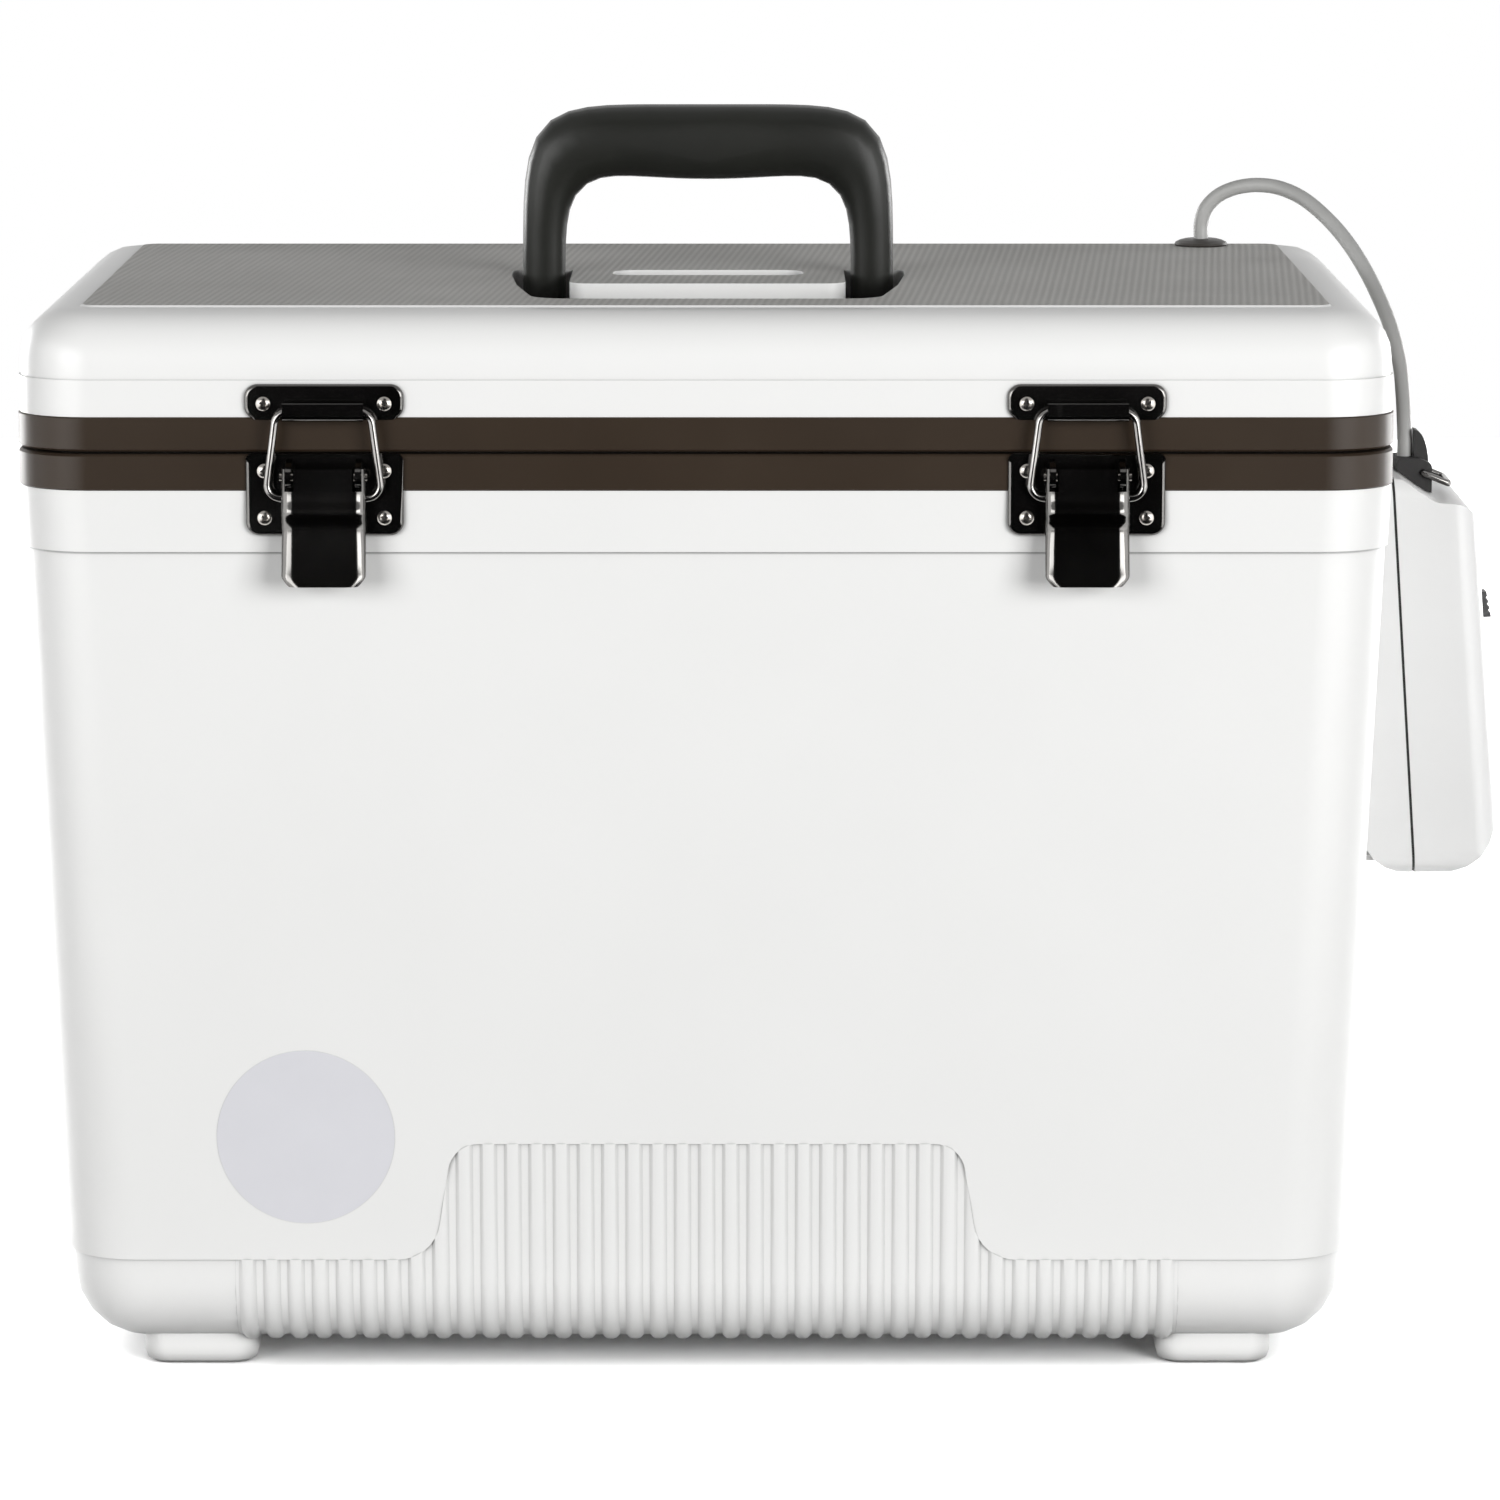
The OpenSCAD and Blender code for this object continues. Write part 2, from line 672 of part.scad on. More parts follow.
// Base plate with two ears for the lever's pin
ear_in = lever_w / 2 - lever_t - clear - 2;
module latch_base() {
    difference() {
        union() {
            front_plate(rounded([[-base_w / 2, base_top - base_h], [base_w / 2, base_top - base_h],
                                 [base_w / 2, base_top], [-base_w / 2, base_top]],
                                [4.8, 4.8, 2.5, 2.5]),
                        -face_y, plate_t);
            mirrored_x() {
                side_plate([[-face_y - 0.5, lever_z + 6], [lever_y, lever_z + ear_r],
                            [lever_y, lever_z - ear_r], [-face_y - 0.5, lever_z - 8]],
                           ear_in, 2);
                rod_x(ear_in, lever_y, lever_z, ear_r, 2);
            }
        }
        rod_x(-lever_w, lever_y, lever_z, lever_pin_r + seat, 2 * lever_w);
        for (x = [-1, 1] * base_screws / 2) for (z = base_rows)
            translate([x, -face_y + 1, z])
                rotate([90, 0, 0])
                    cylinder(r = screw_r + 0.2, h = plate_t + 2);
    }
}
module latch_base_left() color([0.13, 0.13, 0.14]) placed() translate([-latch_x, 0, 0]) latch_base();
module latch_base_right() color([0.13, 0.13, 0.14]) placed() translate([latch_x, 0, 0]) latch_base();

// One riveted pin in each latch, from flange to flange
module latch_pins() {
    color("silver")
        placed()
            for (s = [-1, 1]) for (k = [-1, 1]) translate([s * latch_x, 0, 0]) {
                rod_x(k < 0 ? -lever_w / 2 - 0.6 : ear_in - 0.6, lever_y, lever_z, lever_pin_r,
                      lever_w / 2 + 1.2 - ear_in);
            }
}

// Side profile of the lever, outward distance against height from the pivot: a flat head,
// a hump for the knuckle of the thumb, then a flare out to the lip
function lever_face(b) =
    3.4 + 1.6 * exp(-pow((b + 12) / 3.2, 2))
    + (lever_flare - 3.4) * pow(max(0, (-b - 14) / (lever_l - 14)), 1.9);
lever_steps = [for (k = [0 : 27]) 3 - (lever_l + 3) * k / 27];
module lever() {
    difference() {
        intersection() {
            side_plate(concat([for (b = lever_steps) [lever_y - lever_face(b), lever_z + b]],
                              [for (q = [[-lever_l, -lever_face(-lever_l) + 1.4], [-30, -2.6],
                                         [-20, 0.2], [-14, 2.2], [-10.6, 4.2], [-5.6, 4.3],
                                         [0, 3.2], [3, 1.6]])
                               [lever_y + q[1], lever_z + q[0]]]),
                       -lever_w / 2, lever_w);
            front_plate(rounded([[-lever_w / 2, lever_z - lever_l], [lever_w / 2, lever_z - lever_l],
                                 [lever_w / 2, lever_z + 5], [-lever_w / 2, lever_z + 5]],
                                [4, 4, 1, 1]),
                        -face_y, 30);
        }
        // The channel behind the face
        side_plate(concat([for (b = lever_steps) [lever_y - lever_face(b) + lever_t, lever_z + b]],
                          [[lever_y + 9, lever_z - lever_l - 0.01], [lever_y + 9, lever_z + 3.1],
                           [lever_y - lever_face(3) + lever_t, lever_z + 3.1]]),
                   -lever_w / 2 + lever_t, lever_w - 2 * lever_t);
        // Notches for the ears
        for (s = [-1, 1])
            translate([s * (lever_w / 2 - lever_t - 1.6) - 1.6, lever_y - 6, lever_z - ear_r - 0.9])
                cube([3.2, 6, 12]);
        rod_x(-lever_w, lever_y, lever_z, lever_pin_r + run, 2 * lever_w);
        rod_x(-lever_w, bail_y, bail_z, bail_r + run, 2 * lever_w);
    }
}
module latch_lever_left() color([0.1, 0.1, 0.11]) placed() translate([-latch_x, 0, 0]) lever();
module latch_lever_right() color([0.1, 0.1, 0.11]) placed() translate([latch_x, 0, 0]) lever();

module bail() {
    foot = bail_foot_w / 2 - bail_r;
    top = bail_top_w / 2 - bail_r;
    stub = lever_w / 2 - lever_t - 0.1;
    translate([0, bail_y, 0])
        wire([[stub, bail_z], [foot, bail_z], [top, bar_z],
              [-top, bar_z], [-foot, bail_z], [-stub, bail_z]], 3, bail_r, 3);
}
module latch_bail_left() color("lightgray") placed() translate([-latch_x, 0, 0]) bail();
module latch_bail_right() color("lightgray") placed() translate([latch_x, 0, 0]) bail();

// Strike plate with the hook that holds the bail's bar
module strike() {
    hook_y = bail_y - bail_r - 1;
    difference() {
        union() {
            front_plate(rounded([[-strike_w / 2, strike_z], [strike_w / 2, strike_z],
                                 [strike_w / 2, strike_z + strike_h], [-strike_w / 2, strike_z + strike_h]],
                                4.6),
                        -face_y, plate_t);
            side_plate(concat(
                           rounded([[-face_y - 0.5, strike_z], [-face_y - 0.5, strike_z + lever_t],
                                    [hook_y, strike_z + lever_t], [hook_y, strike_z + 6.4],
                                    [hook_y - lever_t, strike_z + 6.4], [hook_y - lever_t, strike_z]],
                                   [0, 0, 0.8, 0.3, 0.3, 2])),
                       -hook_w / 2, hook_w);
        }
        for (x = [-1, 1] * strike_screws / 2)
            translate([x, -face_y + 1, strike_z + strike_h - 6.7])
                rotate([90, 0, 0])
                    cylinder(r = screw_r + 0.2, h = plate_t + 2);
    }
}
module strike_left() color([0.13, 0.13, 0.14]) placed() translate([-latch_x, 0, 0]) strike();
module strike_right() color([0.13, 0.13, 0.14]) placed() translate([latch_x, 0, 0]) strike();

// ---- Lid ------------------------------------------------------------------------------------

shoulder_z = lid_top - panel_rise - shoulder_r;
shoulder_in = collar_proud + 0.5;
plug_in = wall_t + plug_gap;
plug_z = lid_base - plug_h;

function lid_outside() = concat(
    [plan(collar_t + fit, corner_r - collar_t, lid_base + collar_t + fit),
     plan(collar_t + fit, corner_r - collar_t, lid_collar_top),
     plan(collar_proud, corner_r, lid_collar_top),
     plan(collar_proud, corner_r, skirt_top),
     plan(shoulder_in, corner_r, skirt_top)],
    [for (a = [0 : 15 : 90])
     plan(shoulder_in + shoulder_r * (1 - cos(a)), corner_r - shoulder_r * (1 - cos(a)),
          shoulder_z + shoulder_r * sin(a))],
    [plan(panel_inset - 0.7, 6, lid_top - panel_rise), plan(panel_inset, 6, lid_top)]);

// The space inside the lid, or with a gap d the foam that fills it
function lid_inside(d, z0) = concat(
    [plan(collar_t + fit + skin_t + d, corner_r - collar_t - skin_t, z0),
     plan(collar_t + fit + skin_t + d, corner_r - collar_t - skin_t, skirt_top)],
    [for (a = [15 : 25 : 90])
     plan(shoulder_in + shoulder_r - (shoulder_r - skin_t - d) * cos(a),
          corner_r - shoulder_r * (1 - cos(a)) - 2,
          shoulder_z + (shoulder_r - skin_t - d) * sin(a))]);

// Outline of the handle recess, grown by d
function recess_outline(d) =
    rounded([[-recess_x - d, recess_back + d], [-recess_x - d, -8], [-recess_mid_x - d, -48],
             [-recess_front_x - d, -recess_front - d], [recess_front_x + d, -recess_front - d],
             [recess_mid_x + d, -48], [recess_x + d, -8], [recess_x + d, recess_back + d]],
            [5 + d, 0, 0, 13 + d, 13 + d, 0, 0, 5 + d]);
// The pad that fills the recess between the handle's legs, drawn in by d
function pad_outline(d) =
    rounded([[-pad_x + d, -pad_front + d], [pad_x - d, -pad_front + d],
             [pad_x - d, recess_back + 4], [-pad_x + d, recess_back + 4]], [7 - d, 7 - d, 0, 0]);
scoop_outline = rounded(
    [[-scoop_x, -scoop_front], [scoop_x, -scoop_front],
     [scoop_x, recess_back], [-scoop_x, recess_back]], [7, 7, 9, 9]);

// Hollow under the front of the pad, open to the foam below
module pad_hollow(d) {
    w = 2 * (pad_x - skin_t - d);
    l = pad_front - scoop_front - 2 * skin_t - 2 * d;
    translate([-w / 2, -pad_front + skin_t + d, recess_z - skin_t - 1])
        cube([w, l, recess_depth - panel_rise - d]);
}

module lid_shell() {
    color("white")
        placed()
            difference() {
                union() {
                    difference() {
                        loft(lid_outside());
                        loft(lid_inside(0, lid_base));
                    }
                    translate([0, 0, recess_z - skin_t])
                        linear_extrude(recess_depth + skin_t - panel_rise - 0.5)
                            polygon(recess_outline(skin_t));
                }
                difference() {
                    translate([0, 0, recess_z])
                        linear_extrude(recess_depth + 1)
                            polygon(recess_outline(0));
                    translate([0, 0, recess_z - 1])
                        linear_extrude(recess_depth + 1)
                            polygon(pad_outline(0));
                }
                translate([0, 0, lid_top - scoop_depth])
                    linear_extrude(scoop_depth + 1)
                        polygon(scoop_outline);
                pad_hollow(0);
                mirrored_x()
                    rod_x(pad_x - 5.6, 0, pivot_z, handle_pin_r + seat, recess_x - pad_x + 8.2);
                translate([grommet_x, grommet_y, lid_top - 8])
                    cylinder(r = grommet_stem_r + seat, h = 10);
                at_lid_screws() screw_hole(screw_r + seat);
            }
}

module lid_foam() {
    color("khaki")
        placed()
            difference() {
                union() {
                    loft([plan(plug_in + skin_t + fit, cavity_corner_r - skin_t, plug_z + skin_t + fit),
                          plan(plug_in + skin_t + fit, cavity_corner_r - skin_t,
                               lid_base + collar_t + skin_t + 2)]);
                    loft(lid_inside(fit, lid_base + collar_t + skin_t + 2 * fit));
                }
                difference() {
                    translate([0, 0, recess_z - skin_t - fit])
                        linear_extrude(recess_depth + 9)
                            polygon(recess_outline(skin_t + fit));
                    pad_hollow(fit);
                }
                translate([grommet_x, grommet_y, plug_z])
                    cylinder(r = hose_d / 2 + fit, h = 70);
                translate([grommet_x, grommet_y, lid_top - 10])
                    cylinder(r = grommet_stem_r + 3.4, h = 12);
                at_lid_screws() screw_hole(screw_r + seat);
            }
}

module lid_collar() {
    color([0.25, 0.21, 0.18])
        placed()
            difference() {
                loft([plan(0.8, corner_r, lid_base), plan(0, corner_r, lid_base + 0.8),
                      plan(0, corner_r, lid_collar_top - 0.5), plan(0.5, corner_r, lid_collar_top)]);
                loft([plan(collar_t, corner_r - collar_t, lid_base + collar_t),
                      plan(collar_t, corner_r - collar_t, lid_collar_top + 1)]);
                loft([plan(plug_in - fit, cavity_corner_r, lid_base - 1),
                      plan(plug_in - fit, cavity_corner_r, lid_base + collar_t + 1)]);
                difference() {
                    loft([plan(seal_in - 0.1, 18, lid_base - 1), plan(seal_in - 0.1, 18, lid_base + 1.6)]);
                    loft([plan(seal_in + seal_w + 0.1, 12, lid_base - 2),
                          plan(seal_in + seal_w + 0.1, 12, lid_base + 2)]);
                }
                at_lid_screws() screw_hole(screw_r + seat);
            }
}

module lid_seal() {
    color("gray")
        placed()
            difference() {
                loft([plan(seal_in + 1, 17, lid_base - parting_gap + clear),
                      plan(seal_in, 18, lid_base), plan(seal_in, 18, lid_base + 1.5)]);
                loft([plan(seal_in + seal_w - 1, 12, lid_base - parting_gap + clear - 0.2),
                      plan(seal_in + seal_w, 12, lid_base), plan(seal_in + seal_w, 12, lid_base + 2)]);
            }
}

module lid_liner() {
    color("whitesmoke")
        placed()
            difference() {
                union() {
                    loft([plan(plug_in + 2.5, cavity_corner_r - 2, plug_z),
                          plan(plug_in + 0.4, cavity_corner_r - 1, plug_z + 2.1),
                          plan(plug_in, cavity_corner_r, lid_base + collar_t)]);
                    loft([plan(plug_in - 8, cavity_corner_r + 5, lid_base + collar_t),
                          plan(plug_in - 8, cavity_corner_r + 5, lid_base + collar_t + skin_t)]);
                }
                loft([plan(plug_in + skin_t, cavity_corner_r - skin_t, plug_z + skin_t),
                      plan(plug_in + skin_t, cavity_corner_r - skin_t, lid_base + collar_t + skin_t + 1)]);
                translate([grommet_x, grommet_y, plug_z - 1])
                    cylinder(r = hose_d / 2 + seat, h = 10);
            }
}

module lid_screws() {
    color("silver") placed() at_lid_screws() screw();
}

// Grommet: a low dome, a neck through the lid's skin and a lip behind it
module hose_grommet() {
    color([0.22, 0.2, 0.19])
        placed()
            translate([grommet_x, grommet_y, lid_top])
                rotate_extrude()
                    polygon([[hose_d / 2 + seat, -skin_t - panel_rise - 2.2],
                             [grommet_stem_r + 1.4, -skin_t - panel_rise - 2.2],
                             [grommet_stem_r + 1.4, -skin_t - panel_rise - 0.2],
                             [grommet_stem_r, -skin_t - panel_rise - 0.2],
                             [grommet_stem_r, 0], [grommet_r - 0.4, 0], [grommet_r, 0.6],
                             [grommet_r - 0.4, 1.4], [grommet_r - 2, 2.2], [grommet_r - 4, grommet_h],
                             [hose_d / 2 + seat, grommet_h]]);
}

module hose_in_lid() {
    color("darkgray")
        placed()
            translate([grommet_x, grommet_y, plug_z - 1])
                difference() {
                    cylinder(r = hose_d / 2, h = lid_top + grommet_h - plug_z + 1);
                    translate([0, 0, -1]) cylinder(r = hose_d / 2 - 1, h = 100);
                }
}

// ---- Handle ---------------------------------------------------------------------------------

module handle_pins() {
    color("silver")
        placed()
            mirrored_x()
                rod_x(pad_x - 5.5, 0, pivot_z, handle_pin_r, recess_x - pad_x + 8);
}

// The bow runs between two rounded-square curves, one outside and one inside, and its grip
// hangs a little lower in the middle for the fingers
function bow_angle(u) = u < 0.5 ? 45 * pow(2 * u, 3) : 90 - 45 * pow(2 - 2 * u, 3);
function bow(a, b, t) = [-a * pow(max(0, cos(t)), 1 / 3), b * pow(max(0, sin(t)), 1 / 3)];
function bow_outer(t) = bow(handle_x, handle_h, t);
function bow_inner(t) =
    let (p = bow(handle_x - handle_leg, handle_h - handle_grip, t))
    [p.x, p.y - handle_belly * pow(max(0, 1 - pow(p.x / 42, 2)), 1.4)];
function oval(c, e, half_w, half_d) =
    [for (k = [0 : 15]) let (x = cos(22.5 * k), y = sin(22.5 * k),
                             p = half_w * sign(x) * pow(abs(x), 0.8),
                             q = half_d * sign(y) * pow(abs(y), 0.8))
     [c.x + e.x * p, -q, c.y + e.y * p]];
function bow_ring(t, side) =
    let (o = bow_outer(t), i = bow_inner(t), w = norm(o - i), e = (o - i) / w, c = (o + i) / 2,
         d = leg_depth + (grip_depth - leg_depth) * pow(sin(t), 0.5))
    oval([c.x * side, c.y], [e.x * side, e.y], w / 2, d / 2);
bow_n = 17;

module carry_handle() {
    color([0.19, 0.19, 0.17])
        placed()
            translate([0, 0, pivot_z])
                difference() {
                    union() {
                        loft(concat([for (k = [0 : bow_n]) bow_ring(bow_angle(k / bow_n), 1)],
                                    [for (k = [bow_n - 1 : -1 : 0]) bow_ring(bow_angle(k / bow_n), -1)]));
                        mirrored_x()
                            rod_x(handle_x - handle_leg, 0, 0, leg_depth / 2, handle_leg);
                    }
                    rod_x(-handle_x - 1, 0, 0, handle_pin_r + run, 2 * handle_x + 2);
                }
}

// ---- Air pump -------------------------------------------------------------------------------

// Side outline of the casing: rounded foot, leaning front, and a neck that rises to the rim
casing = [[0, 0], [pump_t, 0], [pump_t - pump_h * tan(pump_lean), pump_h],
          [boot_in + 8, pump_h + 1.1], [boot_in - 4, pump_h + 9.3], [0, pump_h + 11.8]];
function casing_line(d) =
    [for (q = rounded(drawn_in(casing, d), [for (r = casing_r) max(r - d, 0.6)], 6))
     [pump_x + q.x, pump_foot + q.y]];
// The casing drawn in by d: its side outline, cut by the rounded outlines of its other faces
module casing_block(d) {
    half = pump_w / 2 - d;
    round_d = max(casing_edge_r - d, 1);
    intersection() {
        translate([0, pump_y, 0]) end_plate(casing_line(d), 2 * half);
        // Upright edges at the front
        translate([pump_x + pump_t - d / cos(pump_lean), pump_y, pump_foot])
            rotate([0, -pump_lean, 0])
                translate([0, 0, -30])
                    linear_extrude(pump_h + 80)
                        polygon(rounded([[-90, -half], [0, -half], [0, half], [-90, half]],
                                        [0, round_d, round_d, 0], 6));
        // Upright edges at the back
        translate([pump_x + d, pump_y, pump_foot - 30])
            linear_extrude(pump_h + 80)
                polygon(rounded([[0, -half], [120, -half], [120, half], [0, half]],
                                [round_d / 2, 0, 0, round_d / 2], 4));
        // Edges at the foot and the neck
        side_plate(rounded([[pump_y - half, pump_foot + d], [pump_y + half, pump_foot + d],
                            [pump_y + half, pump_top + 11.8 - d], [pump_y - half, pump_top + 11.8 - d]],
                           round_d, 6),
                   pump_x - 20, pump_t + 60);
    }
}
// Everything from x0 to x1 past the leaning seam
module seam_slab(x0, x1) {
    translate([pump_x + seam_x, pump_y, pump_foot])
        rotate([0, -seam_lean, 0])
            translate([x0, -pump_w, -30])
                cube([x1 - x0, 2 * pump_w, pump_h + 90]);
}

// Cells and works stand on two shelves of the back half
module pump_back_shell() {
    color("white")
        placed()
            difference() {
                union() {
                    difference() {
                        intersection() {
                            casing_block(0);
                            seam_slab(-60, -seal_t / 2);
                        }
                        casing_block(casing_t);
                    }
                    for (z = shelf_z)
                        translate([pump_x + 1, pump_y - pump_w / 2 + 5, pump_foot + z])
                            cube([z > shelf_z[0] ? 13 : 15, pump_w - 10, 2]);
                }
                // Keyholes: the stud's head goes in below and the shank slides up
                at_keyholes() {
                    translate([-3, 0, 0])
                        rotate([0, 90, 0]) cylinder(r = stud_r + clear, h = 9);
                    translate([-3, 0, -11])
                        rotate([0, 90, 0]) cylinder(r = stud_r + 2 + clear, h = 9);
                    translate([-3, -stud_r - clear, -11]) cube([9, 2 * (stud_r + clear), 11]);
                }
            }
}

module pump_front_shell() {
    color("white")
        placed()
            difference() {
                intersection() {
                    casing_block(0);
                    seam_slab(seal_t / 2, 80);
                }
                casing_block(casing_t);
                on_pump_face()
                    translate([-8, -1.9, -2.4])
                        cube([12, 3.8, 4.8 + switch_travel]);
                translate([pump_x + boot_in, pump_y, pump_top - 8])
                    cylinder(r = barb_r + clear, h = 30);
            }
}

module pump_seal() {
    color([0.16, 0.16, 0.16])
        placed()
            difference() {
                intersection() {
                    casing_block(0.5);
                    seam_slab(-seal_t / 2, seal_t / 2);
                }
                casing_block(casing_t + 0.5);
            }
}

// Studs of the bracket and the keyholes that hang on them
module at_keyholes() {
    for (y = [-1, 1] * stud_y) translate([pump_x, pump_y + y, bracket_z + 8]) children();
}
// The leaning front face at the switch: local X out of the face, local Z up along it
module on_pump_face() {
    translate([pump_x + pump_t - switch_z * tan(pump_lean), pump_y, pump_foot + switch_z])
        rotate([0, -pump_lean, 0]) children();
}

module pump_bracket() {
    wall_x = cooler_w / 2 - wall_in(bracket_z + 8);
    color("dimgray")
        placed() {
            difference() {
                on_side_wall()
                    translate([0, 0, (bracket_t + seat) / 2])
                        cube([2 * bracket_screw_z + 14, 2 * bracket_screw_y + 14, bracket_t - seat],
                             center = true);
                at_bracket_screws() screw_hole(screw_r + fit);
            }
            for (y = [-1, 1] * stud_y) {
                rod_x(wall_x + 0.4, pump_y + y, bracket_z + 8, stud_r,
                      pump_x + casing_t + 1.5 - wall_x);
                rod_x(pump_x + casing_t + clear, pump_y + y, bracket_z + 8, stud_r + 2, 1.8);
            }
        }
}

// Two fat cells stand side by side between their contacts
module batteries() {
    color("steelblue")
        placed()
            for (y = [-1, 1] * (battery_r + 0.6))
                translate([pump_x + battery_x, pump_y + y, pump_foot + shelf_z[0] + 3.4]) {
                    cylinder(r = battery_r, h = battery_l - 2);
                    cylinder(r = 5, h = battery_l);
                }
}

module battery_contacts() {
    color("silver")
        placed()
            for (z = [shelf_z[0] + 2.1, shelf_z[0] + 3.5 + battery_l])
                translate([pump_x + 9.6, pump_y - battery_r - 8, pump_foot + z])
                    cube([battery_x, 2 * battery_r + 16, 0.7]);
}

module pump_motor() {
    color("gray")
        placed()
            translate([pump_x + 22, pump_y - 22, pump_foot + shelf_z[1] + 2.1]) {
                cylinder(r = 11, h = 34);
                cylinder(r = 1, h = 41);
            }
}

// Diaphragm housing with the barb that the hose pushes on to
module pump_head() {
    color("black")
        placed()
            difference() {
                translate([0, 0, pump_foot + shelf_z[1] + 2.1]) {
                    translate([pump_x + 9, pump_y - 9, 0]) cube([26, 38, 46]);
                    translate([pump_x + boot_in, pump_y, 0])
                        cylinder(r = barb_r, h = boot_top - pump_foot - shelf_z[1] - 2.3);
                }
                translate([pump_x + boot_in, pump_y, pump_foot + shelf_z[1] + 20])
                    cylinder(r = 1, h = 200);
            }
}

module pump_switch() {
    color([0.1, 0.1, 0.1])
        placed()
            on_pump_face() {
                difference() {
                    translate([clear, -4, -4.8]) cube([3, 8, 9.6]);
                    for (z = [-2.4, 0, 2.4])
                        translate([clear + 3, -5, z])
                            rotate([-90, 0, 0]) cylinder(r = 0.6, h = 10);
                }
                translate([-casing_t - 1.5, -1.6, -2]) cube([casing_t + 2.2, 3.2, 4]);
                translate([-casing_t - 2.5, -4, -4]) cube([2, 8, 8]);
            }
}

// Boot on the neck: a block that the wire clasp turns in, and a curved fin behind the hose
module hose_boot() {
    x = pump_x + boot_in;
    fin = [for (k = [0 : 6]) [x + 8.6 - 5.4 * (1 - cos(15 * k)), boot_top - 3 + 13.2 * sin(15 * k)]];
    w = 2 * (clasp_y - clasp_r - clear);
    color([0.08, 0.08, 0.08])
        placed()
            difference() {
                translate([0, pump_y, 0]) {
                    end_plate(rounded([[x - 3.6, boot_top - 15], [x + 9.4, boot_top - 15],
                                       [x + 9.4, boot_top - 2], [x + 5, boot_top],
                                       [x - 3.6, boot_top]], [0, 0, 2, 2, 1]), w);
                    end_plate(concat([[x + 3.2, boot_top + 10.2], [x + 3.2, boot_top - 4],
                                      [x + 8.6, boot_top - 4]], fin), 9);
                }
                translate([0, pump_y, 0]) end_plate(casing_line(-fit), w + 2);
                translate([x, pump_y, boot_top - 20]) cylinder(r = barb_r + fit, h = 30);
                at_clasp() rotate([90, 0, 0]) cylinder(r = clasp_r + run, h = 60, center = true);
            }
}
module at_clasp() translate([pump_x + boot_in + 6, pump_y, boot_top - 5.2]) children();

// Wire clasp over the boot: a loop that leans down a little from its pivot
module pump_clasp() {
    e = [cos(22), -sin(22)];
    color("silver")
        placed()
            at_clasp()
                multmatrix([[0, -e.y, e.x, 0], [1, 0, 0, 0], [0, e.x, e.y, 0], [0, 0, 0, 1]])
                    wire([[clasp_y - 6, 0], [clasp_y, 0], [clasp_y, clasp_l],
                          [-clasp_y, clasp_l], [-clasp_y, 0], [6 - clasp_y, 0]],
                         1.5, clasp_r, 3.4);
}

module air_stone() {
    color("lightsteelblue")
        placed()
            translate([stone_at.x, stone_at.y, floor_z]) {
                cylinder(r = 11, h = 24);
                cylinder(r = 8, h = 27);
                cylinder(r = hose_d / 2 + 0.6, h = stone_top - floor_z);
            }
}

// ---- Hose -----------------------------------------------------------------------------------

module air_hose_outer() color("darkgray") placed() tube(hose_route, hose_d / 2);
module air_hose_inner() color("darkgray") placed() tube(inner_route, hose_d / 2);

outer_shell();
inner_liner();
foam_core();
body_collar();
hinge_body_leaves();
hinge_pins();
latch_base_left();
latch_base_right();
latch_pins();
body_screws();
pump_bracket();
pump_back_shell();
pump_front_shell();
pump_seal();
pump_motor();
pump_head();
batteries();
battery_contacts();
hose_boot();
air_stone();
lid_shell();
lid_collar();
lid_liner();
lid_foam();
lid_seal();
hinge_lid_leaves();
strike_left();
strike_right();
lid_screws();
hose_grommet();
hose_in_lid();
handle_pins();
carry_handle();
latch_lever_left();
latch_lever_right();
latch_bail_left();
latch_bail_right();
pump_switch();
pump_clasp();
air_hose_outer();
air_hose_inner();
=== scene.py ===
import json
from math import cos, exp, pi, radians, sin, tan

import bmesh
import bpy
from mathutils import Matrix, Vector

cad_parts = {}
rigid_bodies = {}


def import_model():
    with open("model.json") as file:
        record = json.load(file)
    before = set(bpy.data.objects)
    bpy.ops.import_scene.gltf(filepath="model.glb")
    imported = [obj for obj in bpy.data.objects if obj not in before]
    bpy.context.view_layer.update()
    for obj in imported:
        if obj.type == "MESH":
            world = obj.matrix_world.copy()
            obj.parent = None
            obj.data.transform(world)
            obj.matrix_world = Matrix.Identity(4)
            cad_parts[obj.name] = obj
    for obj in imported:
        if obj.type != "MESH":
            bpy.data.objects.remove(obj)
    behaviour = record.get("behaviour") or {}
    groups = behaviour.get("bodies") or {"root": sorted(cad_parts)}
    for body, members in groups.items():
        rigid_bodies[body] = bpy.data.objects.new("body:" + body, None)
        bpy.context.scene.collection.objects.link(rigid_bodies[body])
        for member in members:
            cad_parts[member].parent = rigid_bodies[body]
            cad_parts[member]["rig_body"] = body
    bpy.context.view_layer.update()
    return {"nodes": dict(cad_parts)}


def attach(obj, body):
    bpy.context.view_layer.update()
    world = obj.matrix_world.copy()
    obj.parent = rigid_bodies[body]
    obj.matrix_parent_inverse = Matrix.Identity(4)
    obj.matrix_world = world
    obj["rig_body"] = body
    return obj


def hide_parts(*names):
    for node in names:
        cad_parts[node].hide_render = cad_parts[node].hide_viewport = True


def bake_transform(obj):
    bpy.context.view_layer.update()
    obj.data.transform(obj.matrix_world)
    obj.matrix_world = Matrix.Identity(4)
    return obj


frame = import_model()
node = frame["nodes"]


# ---- Camera ---------------------------------------------------------------------------------
# A long lens stands two and a half metres off, square to the front and a little above the lid,
# as the photograph was taken.
def at(x, y, z):
    """A point in the box's own middle frame, in millimetres, as a point of the row frame."""
    return Vector((x - 25.871, y + 3.2, z)) / 1000


